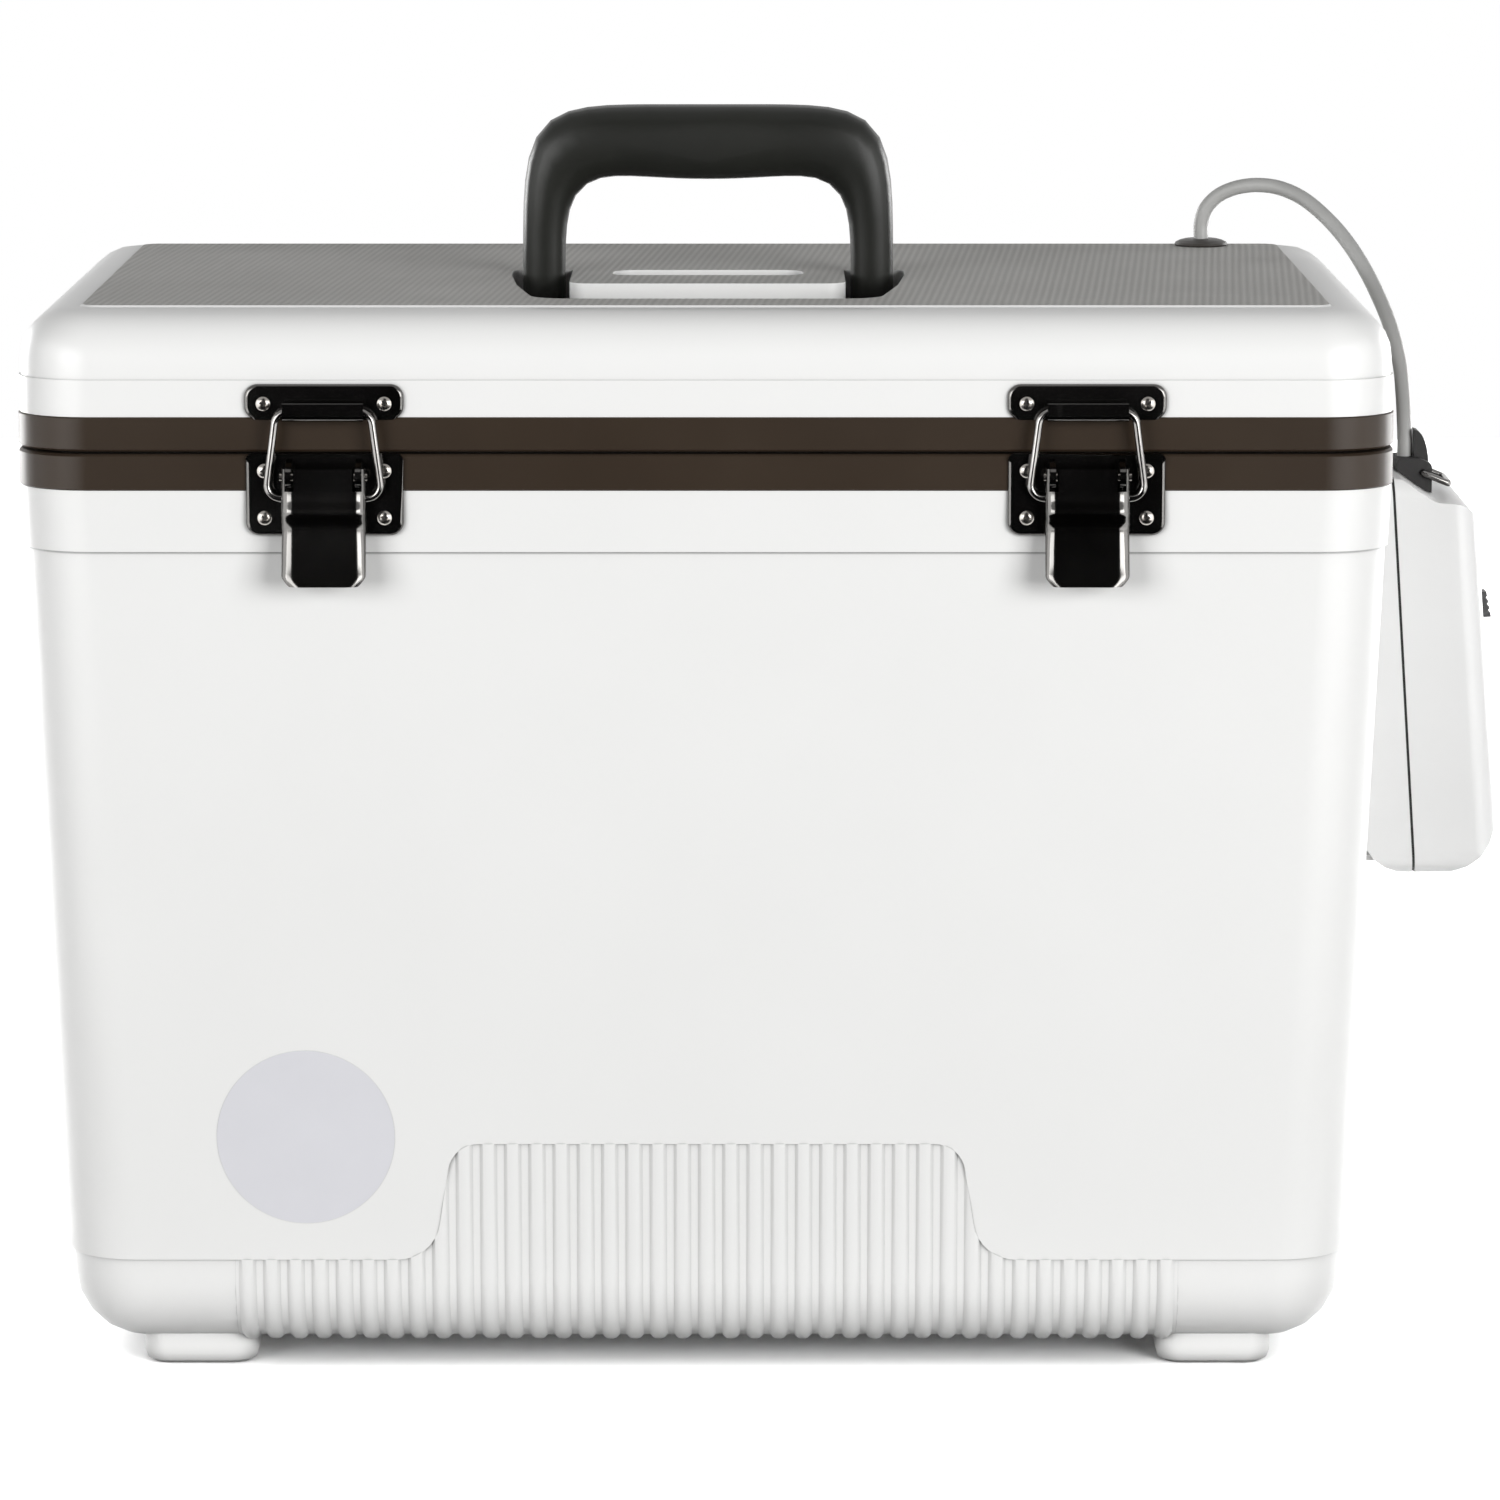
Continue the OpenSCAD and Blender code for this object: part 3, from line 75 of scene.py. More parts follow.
lens = bpy.data.cameras.new("lens")
lens.sensor_width = 36
lens.lens = 161.3
camera = bpy.data.objects.new("camera", lens)
bpy.context.collection.objects.link(camera)
camera.location = at(15.4, -2467.7, 603.8)
camera.rotation_euler = (radians(80.81), 0, 0)
bpy.context.scene.camera = camera


# ---- Studio ---------------------------------------------------------------------------------
# A pale sweep and soft boxes low on both sides of the lens, so that the front is bright and the
# top, which they graze, is grey. Two more light the back. A lamp of its own keeps the floor
# white around the shadow under the box.
def soft_box(name, place, look_at, width, height, watts):
    lamp = bpy.data.lights.new(name, "AREA")
    lamp.shape = "RECTANGLE"
    lamp.size, lamp.size_y, lamp.energy = width, height, watts
    box = bpy.data.objects.new(name, lamp)
    bpy.context.collection.objects.link(box)
    box.location = place
    box.rotation_euler = (Vector(look_at) - Vector(place)).to_track_quat("-Z", "Y").to_euler()
    box.visible_camera = False
    return box


soft_box("box_front_left", (-1.6, -2.3, 0.76), (0, 0, 0.2), 1.5, 1.1, 40)
soft_box("box_front_right", (1.6, -2.3, 0.76), (0, 0, 0.2), 1.5, 1.1, 57)
soft_box("box_back_left", (-2.1, 1.9, 0.5), (0, 0, 0.2), 1.3, 1.0, 40)
soft_box("box_back_right", (2.1, 1.9, 0.5), (0, 0, 0.2), 1.3, 1.0, 40)
# Strips beside the box that only its glossy faces see
for name, x in (("strip_left", -1.75), ("strip_right", 1.75)):
    strip = soft_box(name, (x, -0.75, 0.7), (0, 0, 0.3), 1.7, 1.2, 16)
    strip.visible_diffuse = False


def shaped(name, bm, *materials):
    """An object of the shape in bm, which is freed."""
    mesh = bpy.data.meshes.new(name)
    bm.to_mesh(mesh)
    bm.free()
    for material in materials:
        mesh.materials.append(material)
    piece = bpy.data.objects.new(name, mesh)
    bpy.context.collection.objects.link(piece)
    return piece


def feed(tree, socket, value):
    """Links another socket to this one, or sets a plain value on it."""
    if isinstance(value, bpy.types.NodeSocket):
        tree.links.new(value, socket)
    else:
        socket.default_value = value


def maths(tree, operation, a, b=0):
    m = tree.nodes.new("ShaderNodeMath")
    m.operation = operation
    feed(tree, m.inputs[0], a)
    feed(tree, m.inputs[1], b)
    return m.outputs[0]


def mixed(tree, share, a, b, blend="MIX"):
    """Colour a, turned into b or blended with it by share."""
    mix = tree.nodes.new("ShaderNodeMix")
    mix.data_type, mix.blend_type = "RGBA", blend
    for socket, value in ((0, share), (6, a), (7, b)):
        feed(tree, mix.inputs[socket], value)
    return mix.outputs[2]


def ranged(tree, value, low, high, to_low=0.0, to_high=1.0):
    r = tree.nodes.new("ShaderNodeMapRange")
    for label, number in (("From Min", low), ("From Max", high),
                          ("To Min", to_low), ("To Max", to_high)):
        r.inputs[label].default_value = number
    tree.links.new(value, r.inputs["Value"])
    return r.outputs["Result"]


def seen_itself(tree):
    """1 where the eye, a glossy face or glass sees a surface, and 0 for the light it throws."""
    ray = tree.nodes.new("ShaderNodeLightPath").outputs
    eye_or_gloss = maths(tree, "MAXIMUM", ray["Is Camera Ray"], ray["Is Glossy Ray"])
    return maths(tree, "MAXIMUM", eye_or_gloss, ray["Is Transmission Ray"])


bm = bmesh.new()
bmesh.ops.create_grid(bm, x_segments=1, y_segments=1, size=2.8)
floor = shaped("floor", bm)

# Only the eye, glossy faces and glass see the floor white; what it throws on the box stays low
paper = bpy.data.materials.new("paper_sweep")
paper.use_nodes = True
tree = paper.node_tree
tree.nodes.clear()
out = tree.nodes.new("ShaderNodeOutputMaterial")
sheet = tree.nodes.new("ShaderNodeBsdfDiffuse")
tone = mixed(tree, seen_itself(tree), (0.04, 0.04, 0.04, 1), (0.92, 0.92, 0.92, 1))
tree.links.new(tone, sheet.inputs["Color"])
tree.links.new(sheet.outputs[0], out.inputs["Surface"])
floor.data.materials.append(paper)

floor_lamp = soft_box("box_over_floor", (0, -0.4, 3.0), (0, -0.4, 0), 8, 8, 780)
lit = bpy.data.collections.new("lit_by_floor_lamp")
lit.objects.link(floor)
floor_lamp.light_linking.receiver_collection = lit

# A black flag stands between the soft boxes and another lies on the floor before it, where plated
# faces turned to the lens mirror them
flag_wide = 1.24
bm = bmesh.new()
for middle, tilt, tall in (((0, -1.9, 1.6), 90, 3.2), ((0, -1.07, 0.001), 0, 1.66)):
    card = bmesh.ops.create_grid(bm, x_segments=1, y_segments=1, size=0.5)["verts"]
    bmesh.ops.transform(bm, verts=card, matrix=Matrix.Translation(middle)
                        @ Matrix.Rotation(radians(tilt), 4, "X")
                        @ Matrix.Diagonal((flag_wide, tall, 1, 1)))
felt = bpy.data.materials.new("black_felt")
felt.use_nodes = True
pile = felt.node_tree.nodes["Principled BSDF"].inputs
pile["Base Color"].default_value = (0.01, 0.01, 0.01, 1)
pile["Roughness"].default_value = 1
pile["Specular IOR Level"].default_value = 0
flag = shaped("black_flag", bm, felt)
flag.visible_camera = flag.visible_diffuse = False
flag.visible_transmission = flag.visible_shadow = False

world = bpy.data.worlds.new("studio")
bpy.context.scene.world = world
world.use_nodes = True
tree = world.node_tree
tree.nodes.clear()
out = tree.nodes.new("ShaderNodeOutputWorld")
sky = tree.nodes.new("ShaderNodeBackground")
sky.inputs["Color"].default_value = (1, 1, 1, 1)
tree.links.new(ranged(tree, seen_itself(tree), 0, 1, 0.07, 1), sky.inputs["Strength"])
tree.links.new(sky.outputs[0], out.inputs["Surface"])
bpy.context.scene.view_settings.view_transform = "Standard"


# ---- Outer shell ----------------------------------------------------------------------------
# The tub, its ribbed foot and its four feet are one injection moulding in white polypropylene
# with a fine spark-eroded skin. It carries everything else.
def new_group(name, numbers, outputs):
    """An effect that several finishes share, as a shader node group."""
    group = bpy.data.node_groups.new(name, "ShaderNodeTree")
    group.interface.new_socket(name="Vector", in_out="INPUT", socket_type="NodeSocketVector")
    for label, value in numbers:
        socket = group.interface.new_socket(name=label, in_out="INPUT",
                                            socket_type="NodeSocketFloat")
        socket.default_value = value
    for label in outputs:
        group.interface.new_socket(name=label, in_out="OUTPUT", socket_type="NodeSocketFloat")
    return group, group.nodes.new("NodeGroupInput"), group.nodes.new("NodeGroupOutput")


def noise(tree, vector, scale, detail=2.0, rough=0.5):
    n = tree.nodes.new("ShaderNodeTexNoise")
    n.inputs["Detail"].default_value = detail
    n.inputs["Roughness"].default_value = rough
    tree.links.new(vector, n.inputs["Vector"])
    tree.links.new(scale, n.inputs["Scale"])
    return n.outputs[0]


# Spark-eroded skin: a fine pebble for the bump, and slow clouds for the tone
skin, skin_in, skin_out = new_group("eroded_skin", [("Grain", 1500), ("Cloud", 14)],
                                    ["Height", "Tone"])
pebble = noise(skin, skin_in.outputs["Vector"], skin_in.outputs["Grain"], 3, 0.6)
cloud = noise(skin, skin_in.outputs["Vector"], skin_in.outputs["Cloud"], 3, 0.55)
skin.links.new(pebble, skin_out.inputs["Height"])
skin.links.new(ranged(skin, cloud, 0.3, 0.7), skin_out.inputs["Tone"])

# Handling: faint rubbed patches and hairline scratches that change the gloss
rub, rub_in, rub_out = new_group("handling", [("Patch", 9), ("Hair", 160)], ["Rubbed"])
patches = ranged(rub, noise(rub, rub_in.outputs["Vector"], rub_in.outputs["Patch"], 4, 0.6),
                 0.4, 0.85)
drawn = rub.nodes.new("ShaderNodeMapping")
drawn.inputs["Scale"].default_value = (1, 0.05, 0.12)
drawn.inputs["Rotation"].default_value = (0.4, 0.7, 0.5)
rub.links.new(rub_in.outputs["Vector"], drawn.inputs["Vector"])
hairs = ranged(rub, noise(rub, drawn.outputs[0], rub_in.outputs["Hair"], 2, 0.5), 0.66, 0.72)
rub.links.new(maths(rub, "MAXIMUM", patches, maths(rub, "MULTIPLY", hairs, 0.6)),
              rub_out.inputs["Rubbed"])


def finish(name, light, dark, rough, depth, texture=skin, sizes=(1500, 14), metal=0.0,
           specular=0.5, coat=0.0, worn=0.1, crevice_shade=0.0):
    """A material: two close tones mixed by the texture's clouds, its roughness raised where hands
    rub, the texture's height as a bump of that depth in metres, and shade painted into its
    crevices."""
    made = bpy.data.materials.new(name)
    made.use_nodes = True
    tree = made.node_tree
    shader = tree.nodes["Principled BSDF"]
    place = tree.nodes.new("ShaderNodeTexCoord").outputs["Object"]
    surface = tree.nodes.new("ShaderNodeGroup")
    surface.node_tree = texture
    hands = tree.nodes.new("ShaderNodeGroup")
    hands.node_tree = rub
    tree.links.new(place, surface.inputs["Vector"])
    tree.links.new(place, hands.inputs["Vector"])
    for socket, value in zip(list(surface.inputs)[1:], sizes):
        socket.default_value = value
    colour = mixed(tree, surface.outputs["Tone"], (*dark, 1), (*light, 1))
    if crevice_shade:
        # Painted shade: ambient occlusion darkens the colour of what has another face within 7 mm
        near = tree.nodes.new("ShaderNodeAmbientOcclusion")
        near.inputs["Distance"].default_value = 0.007
        near.samples = 8
        painted_shade = ranged(tree, near.outputs["AO"], 0.35, 0.95, 1 - crevice_shade, 1)
        colour = mixed(tree, 1, colour, painted_shade, "MULTIPLY")
    tree.links.new(colour, shader.inputs["Base Color"])
    tree.links.new(ranged(tree, hands.outputs["Rubbed"], 0, 1, rough, min(rough + worn, 1)),
                   shader.inputs["Roughness"])
    bump = tree.nodes.new("ShaderNodeBump")
    bump.inputs["Distance"].default_value = depth
    bump.inputs["Strength"].default_value = 1
    tree.links.new(surface.outputs["Height"], bump.inputs["Height"])
    tree.links.new(bump.outputs[0], shader.inputs["Normal"])
    shader.inputs["Metallic"].default_value = metal
    shader.inputs["Specular IOR Level"].default_value = specular
    shader.inputs["Coat Weight"].default_value = coat
    shader.inputs["Coat Roughness"].default_value = 0.12
    return made


def shaded(bm, crease):
    """Smooth all over, but for edges where faces meet at more than crease degrees."""
    for f in bm.faces:
        f.smooth = True
    for e in bm.edges:
        e.smooth = e.is_manifold and e.calc_face_angle(0) < radians(crease)


def evened(piece):
    """Broad faces keep their own normals beside eased edges."""
    modifier = piece.modifiers.new("evened", "WEIGHTED_NORMAL")
    modifier.keep_sharp = True
    modifier.mode = "FACE_AREA"
    modifier.weight = 60


def dressed(name, materials, crease=25.0, soften=0.0, steps=2, pick=None, shade=None,
            clamp=True, weld=2e-6):
    """A merged copy of a CAD node, its creases eased by soften metres and its curves shaded
    smooth. pick chooses the edges that are eased, and shade a face's material. weld is how near
    two corners are merged; along open edges it is always 2 micrometres."""
    source = node[name]
    bm = bmesh.new()
    bm.from_mesh(source.data)
    bmesh.ops.remove_doubles(bm, verts=bm.verts, dist=weld)
    bmesh.ops.remove_doubles(bm, verts=[v for v in bm.verts if v.is_boundary], dist=2e-6)
    bmesh.ops.dissolve_limit(bm, angle_limit=radians(0.3), verts=bm.verts, edges=bm.edges)
    if soften:
        edges = [e for e in bm.edges
                 if e.is_manifold and e.is_convex and e.calc_face_angle(0) > radians(crease)
                 and (pick is None or pick(e))]
        bmesh.ops.bevel(bm, geom=edges, offset=soften, offset_type="OFFSET", affect="EDGES",
                        segments=steps, profile=0.5, material=-1, clamp_overlap=clamp)
    bmesh.ops.triangulate(bm, faces=[f for f in bm.faces if len(f.verts) > 4])
    bmesh.ops.delete(bm, geom=[e for e in bm.edges if e.is_wire], context="EDGES")
    bm.normal_update()
    shaded(bm, crease)
    for f in bm.faces:
        f.material_index = shade(f) if shade else 0
    piece = shaped(name + "_finished", bm, *materials)
    evened(piece)
    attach(piece, source["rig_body"])
    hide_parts(name)
    return piece


# Shade is painted into its crevices, darker where another face lies within 7 mm
white_skin = finish("white_polypropylene", (0.845, 0.845, 0.835), (0.832, 0.832, 0.822),
                    0.34, 1.2e-5, specular=0.42, worn=0.04, crevice_shade=0.55)
# Painted shadow: a thin grey line in the corner under the rim's step, round the box
rim_step = 0.2978
tree = white_skin.node_tree
base_colour = tree.nodes["Principled BSDF"].inputs["Base Color"]
height = tree.nodes.new("ShaderNodeSeparateXYZ")
tree.links.new(tree.nodes["Texture Coordinate"].outputs["Object"], height.inputs[0])
off_step = maths(tree, "ABSOLUTE", maths(tree, "SUBTRACT", height.outputs["Z"], rim_step))
painted_step_shadow = ranged(tree, off_step, 0.0002, 0.0006, 0.62, 1)
unshaded_colour = base_colour.links[0].from_socket
tree.links.new(mixed(tree, 1, unshaded_colour, painted_step_shadow, "MULTIPLY"), base_colour)
dressed("outer_shell", [white_skin], crease=31, weld=1e-7)


# ---- Foam core ------------------------------------------------------------------------------
# Rigid polyurethane foam, poured between shell and liner and into the lid, where it foams up and
# sets. It never shows on a whole box.
cells, cells_in, cells_out = new_group("open_cells", [("Cell", 900), ("Cloud", 20)],
                                       ["Height", "Tone"])
pores = cells.nodes.new("ShaderNodeTexVoronoi")
cells.links.new(cells_in.outputs["Vector"], pores.inputs["Vector"])
cells.links.new(cells_in.outputs["Cell"], pores.inputs["Scale"])
cells.links.new(pores.outputs["Distance"], cells_out.inputs["Height"])
cloud = noise(cells, cells_in.outputs["Vector"], cells_in.outputs["Cloud"])
cells.links.new(ranged(cells, cloud, 0.3, 0.7), cells_out.inputs["Tone"])
foam = finish("poured_foam", (0.80, 0.70, 0.42), (0.70, 0.60, 0.34), 0.9, 2e-4, texture=cells,
              sizes=(900, 20), specular=0.2)


def paint(name, material):
    """Gives a CAD node that keeps its own mesh its finish."""
    for slot in node[name].material_slots:
        slot.material = material


for name in ("foam_core", "lid_foam"):
    paint(name, foam)


# ---- Inner liner ----------------------------------------------------------------------------
# The water-tight well, vacuum-formed from smooth white sheet with rounded corners and held to
# the shell by the foam behind it.
liner_skin = finish("white_liner_sheet", (0.83, 0.84, 0.83), (0.78, 0.79, 0.78), 0.24, 6e-6,
                    sizes=(700, 9), worn=0.05)
dressed("inner_liner", [liner_skin], crease=32)


# ---- Body collar ----------------------------------------------------------------------------
# A brown moulded frame clips over the rim, joins shell and liner, and takes the lid's seal. Its
# satin skin is brushed along its length by use.
brushed, brushed_in, brushed_out = new_group("drawn_lines", [("Line", 900), ("Cloud", 18)],
                                             ["Height", "Tone"])
along = brushed.nodes.new("ShaderNodeMapping")
along.inputs["Scale"].default_value = (0.03, 0.03, 1)
brushed.links.new(brushed_in.outputs["Vector"], along.inputs["Vector"])
lines = noise(brushed, along.outputs[0], brushed_in.outputs["Line"], 3, 0.6)
brushed.links.new(lines, brushed_out.inputs["Height"])
cloud = noise(brushed, brushed_in.outputs["Vector"], brushed_in.outputs["Cloud"], 3)
brushed.links.new(ranged(brushed, cloud, 0.3, 0.7), brushed_out.inputs["Tone"])
brown = finish("brown_satin", (0.038, 0.026, 0.017), (0.030, 0.020, 0.013), 0.34, 1.0e-5,
               texture=brushed, specular=0.16)
dressed("body_collar", [brown], crease=25)


# ---- Hinges ---------------------------------------------------------------------------------
# Two pressed steel hinges at the back: leaves screwed to body and lid, knuckles rolled round a
# pin with riveted ends.
zinc = finish("zinc_plated_steel", (0.34, 0.34, 0.335), (0.27, 0.27, 0.265), 0.38, 4e-6,
              texture=brushed, sizes=(1400, 40), metal=1.0, worn=0.2)
for name in ("hinge_body_leaves", "hinge_lid_leaves"):
    dressed(name, [zinc], crease=30, soften=0.0003)
bright = finish("bright_nickel", (0.30, 0.285, 0.265), (0.24, 0.225, 0.21), 0.2, 2e-6,
                sizes=(2500, 60), metal=1.0, worn=0.12)
for name in ("hinge_pins", "latch_pins", "handle_pins"):
    paint(name, bright)


# ---- Latch bases and strikes ----------------------------------------------------------------
# Plates pressed in 1.5 mm steel, black-nickel plated and mirror bright, with rolled edges: the
# base has two ears for the lever's pin, the strike has the hook that takes the bail.
black_nickel = finish("black_nickel", (0.105, 0.102, 0.098), (0.085, 0.083, 0.080), 0.12, 3e-6,
                      sizes=(900, 50), metal=1.0, worn=0.1)
plate_front = -0.1473
strike_foot = 0.3452


def rolled_edge(e, foot):
    """The plate's own outline on its front, above foot, and not a screw hole."""
    front = [abs(f.normal.y) for f in e.link_faces]
    middle = (e.verts[0].co + e.verts[1].co) / 2
    return (max(front) > 0.99 and min(front) < 0.1 and abs(middle.y - plate_front) < 2e-5
            and middle.z > foot and e.calc_length() > 0.0005)


for side in ("left", "right"):
    for part, foot in (("latch_base_", 0), ("strike_", strike_foot)):
        dressed(part + side, [black_nickel], crease=30, soften=0.0013, steps=5,
                pick=lambda e: rolled_edge(e, foot), clamp=False)


# ---- Screws ---------------------------------------------------------------------------------
# Pan-head stainless screws hold latches, hinges and the pump's bracket. Each head has a cross
# recess, cut here by a cutter that is repeated at every head.
def cut_by(piece, cutter):
    """Cuts the shape in cutter, which is freed, out of a piece and leaves it without modifiers."""
    tool = shaped("cutter", cutter)
    cut = piece.modifiers.new("cut", "BOOLEAN")
    cut.object, cut.operation, cut.solver, cut.use_self = tool, "DIFFERENCE", "EXACT", True
    bpy.context.view_layer.update()
    ready = piece.evaluated_get(bpy.context.evaluated_depsgraph_get())
    mesh = bpy.data.meshes.new_from_object(ready)
    piece.modifiers.clear()
    piece.data = mesh
    mesh.materials.clear()
    bpy.data.objects.remove(tool)


shank_round, head_round_over, foot_from = 0.0021, 0.0006, 0.0125
cross_long, cross_wide, cross_deep = 0.0034, 0.0008, 0.0024


def crossed(name, material):
    """The screws of a CAD node with a cross recess cut in every head."""
    source = node[name]
    bm = bmesh.new()
    bm.from_mesh(source.data)
    bmesh.ops.remove_doubles(bm, verts=bm.verts, dist=2e-6)
    left, heads = dict.fromkeys(bm.verts), []
    while left:
        island, waiting = [], [left.popitem()[0]]
        while waiting:
            v = waiting.pop()
            island.append(v)
            for e in v.link_edges:
                w = e.other_vert(v)
                if w in left:
                    del left[w]
                    waiting.append(w)
        low = Vector([min(v.co[k] for v in island) for k in range(3)])
        high = Vector([max(v.co[k] for v in island) for k in range(3)])
        middle, size = (low + high) / 2, high - low
        # The head is at the end where points lie further from the screw's axis than its shank
        axis = max(range(3), key=lambda k: size[k])
        along = Vector([k == axis for k in range(3)])
        offsets = [v.co - middle for v in island]
        wide = [c for c in offsets if (c - c.project(along)).length > shank_round]
        way = 1 if sum(c[axis] for c in wide) > 0 else -1
        tip = max(v.co[axis] * way for v in island) * way
        top = [v.co for v in island if abs(v.co[axis] - tip) < head_round_over]
        foot = [v.co for v in island if abs(v.co[axis] - tip) > foot_from]
        centre = sum(top, Vector()) / len(top)
        heads.append((centre, (centre - sum(foot, Vector()) / len(foot)).normalized()))
    shaded(bm, 35)
    piece = shaped(name + "_finished", bm)
    cutter = bmesh.new()
    for k, (centre, out_of) in enumerate(heads):
        turn = Matrix.Rotation(radians(17 + 37 * k), 4, "Z")
        stand = out_of.to_track_quat("Z", "Y").to_matrix().to_4x4()
        for quarter in (0, 90):
            arm = bmesh.ops.create_cube(cutter, size=1)["verts"]
            for v in arm:
                narrow = 0.55 if v.co.z < 0 else 1
                v.co = Vector((v.co.x * cross_long * narrow, v.co.y * cross_wide,
                               v.co.z * cross_deep))
            bmesh.ops.transform(cutter, verts=arm,
                                matrix=Matrix.Translation(centre + out_of * 0.0001) @ stand @ turn
                                @ Matrix.Rotation(radians(quarter), 4, "Z"))
    cut_by(piece, cutter)
    piece.data.materials.append(material)
    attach(piece, source["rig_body"])
    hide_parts(name)


crossed("body_screws", bright)
crossed("lid_screws", bright)


# ---- Blank sticker --------------------------------------------------------------------------
# A round vinyl label with nothing printed on it, stuck low on the left of the front. It lies on
# the wall, which leans in by its draft.
vinyl = finish("blank_vinyl", (0.70, 0.70, 0.735), (0.675, 0.675, 0.71), 0.42, 4e-6,
               sizes=(500, 30), specular=0.4)
bm = bmesh.new()
bmesh.ops.create_circle(bm, cap_ends=True, segments=96, radius=0.0315)
top = bmesh.ops.extrude_face_region(bm, geom=bm.faces[:])
bmesh.ops.translate(bm, verts=[v for v in top["geom"] if isinstance(v, bmesh.types.BMVert)],
                    vec=(0, 0, 0.00018))
bmesh.ops.recalc_face_normals(bm, faces=bm.faces)
middle_high, rim_high, draft = 88, 319.8, 2.3
wall = -149 + 0.4 + 0.8 + (rim_high - middle_high) * tan(radians(draft))
bmesh.ops.transform(bm, verts=bm.verts, matrix=Matrix.Translation(at(-142, wall, middle_high))
                    @ Matrix.Rotation(radians(90 + draft), 4, "X"))
sticker = shaped("blank_sticker", bm, vinyl)
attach(sticker, "cooler")


# ---- Pump bracket and pump ------------------------------------------------------------------
# A steel plate with two studs is screwed to the side wall, and the pump's keyholes hang on it.
# Its casing is two white halves with a dark gasket between them.
dressed("pump_bracket", [zinc], crease=30, soften=0.0002)
# Partly painted light: the casing's white is a little lighter than the shell's, to make up for the
# left soft box that the tub shades off it
pump_white = finish("white_abs", (0.87, 0.87, 0.865), (0.85, 0.85, 0.845), 0.30, 8e-6,
                    sizes=(1800, 22), specular=0.45, worn=0.1)
for name in ("pump_back_shell", "pump_front_shell"):
    dressed(name, [pump_white], crease=24, soften=0.0006, steps=3)
black_rubber = finish("black_rubber", (0.020, 0.019, 0.018), (0.013, 0.012, 0.012), 0.55, 2e-5,
                      sizes=(1100, 40), specular=0.35, worn=0.2)
paint("pump_seal", black_rubber)

# Inside: a motor, its diaphragm head, two cells with a blank wrap, and spring-steel contacts
motor_can = finish("motor_can", (0.55, 0.55, 0.54), (0.45, 0.45, 0.44), 0.3, 5e-6, texture=brushed,
                   sizes=(1200, 60), metal=1.0)
paint("pump_motor", motor_can)
head_black = finish("black_nylon", (0.026, 0.026, 0.027), (0.018, 0.018, 0.019), 0.42, 1e-5,
                    sizes=(1300, 35))
paint("pump_head", head_black)
wrap = finish("cell_wrap", (0.045, 0.10, 0.24), (0.035, 0.085, 0.21), 0.25, 3e-6,
              sizes=(600, 50), coat=0.3)
paint("batteries", wrap)
spring = finish("spring_steel", (0.62, 0.60, 0.56), (0.5, 0.48, 0.45), 0.25, 4e-6, texture=brushed,
                sizes=(1200, 80), metal=1.0)
paint("battery_contacts", spring)
switch = dressed("pump_switch", [head_black], crease=30, soften=0.0004, steps=2)
# Its cap is a wedge for the thumb, thicker at its lower end
cap_root, cap_top, cap_high, cap_rise = 0.2625, 0.2604, 0.0096, 0.0012
for v in switch.data.vertices:
    if v.co.x > cap_root:
        v.co.x += cap_rise + cap_rise * max(0, min(1, (cap_top - v.co.z) / cap_high))


# ---- Boot and wire clasp --------------------------------------------------------------------
# A rubber boot with a fin guides the hose on to the pump's barb, and a loop of bright wire turns
# in it to hold the hose down.
dressed("hose_boot", [black_rubber], crease=28, soften=0.0003)


def round_rod(name, path, radius, rounds, material):
    """A round rod or tube on the points of path, capped at both ends."""
    line = bpy.data.curves.new(name, "CURVE")
    line.dimensions = "3D"
    line.bevel_depth, line.bevel_resolution, line.use_fill_caps = radius, rounds, True
    spline = line.splines.new("POLY")
    spline.points.add(len(path) - 1)
    for point, place in zip(spline.points, path):
        point.co = (*place, 1)
    rod = bpy.data.objects.new(name + "_line", line)
    bpy.context.collection.objects.link(rod)
    bpy.context.view_layer.update()
    ready = rod.evaluated_get(bpy.context.evaluated_depsgraph_get())
    mesh = bpy.data.meshes.new_from_object(ready)
    bpy.data.objects.remove(rod)
    bm = bmesh.new()
    bm.from_mesh(mesh)
    bpy.data.meshes.remove(mesh)
    bmesh.ops.remove_doubles(bm, verts=bm.verts, dist=1e-6)
    bmesh.ops.recalc_face_normals(bm, faces=bm.faces)
    shaded(bm, 50)
    return shaped(name, bm, material)


def bent_wire(name, body, replaced, corners, bend, radius, material):
    """A wire through the corners, each turned on the given bend, closed at both ends."""
    path = [corners[0]]
    for a, b, c in zip(corners, corners[1:], corners[2:]):
        u, v = (a - b).normalized(), (c - b).normalized()
        half = u.angle(v) / 2
        back = bend / tan(half)
        centre = b + (u + v).normalized() * bend / sin(half)
        start, turn = b + u * back - centre, pi - 2 * half
        for k in range(9):
            path.append(centre + Matrix.Rotation(turn * k / 8, 3, v.cross(u)) @ start)
    path.append(corners[-1])
    piece = round_rod(name, path, radius, 3, material)
    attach(piece, body)
    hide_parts(replaced)
    return piece


wire = finish("bright_wire", (0.19, 0.185, 0.18), (0.15, 0.145, 0.14), 0.11, 2e-6,
              sizes=(2200, 90), metal=1.0, worn=0.15)
# It starts and ends in the boot, 6 mm each side of its middle, and its bow leans down outwards
middle, half_in, half_out = 30, 6, 12
root_x, root_z = 266, 306
lean, span = radians(-22), 10.4
bow_x, bow_z = root_x + span * cos(lean), root_z + span * sin(lean)
clasp = bent_wire("wire_clasp", "clasp", "pump_clasp",
                  [at(root_x, middle - half_in, root_z), at(root_x, middle - half_out, root_z),
                   at(bow_x, middle - half_out, bow_z), at(bow_x, middle + half_out, bow_z),
                   at(root_x, middle + half_out, root_z), at(root_x, middle + half_in, root_z)],
                  0.0015, 0.00122, wire)


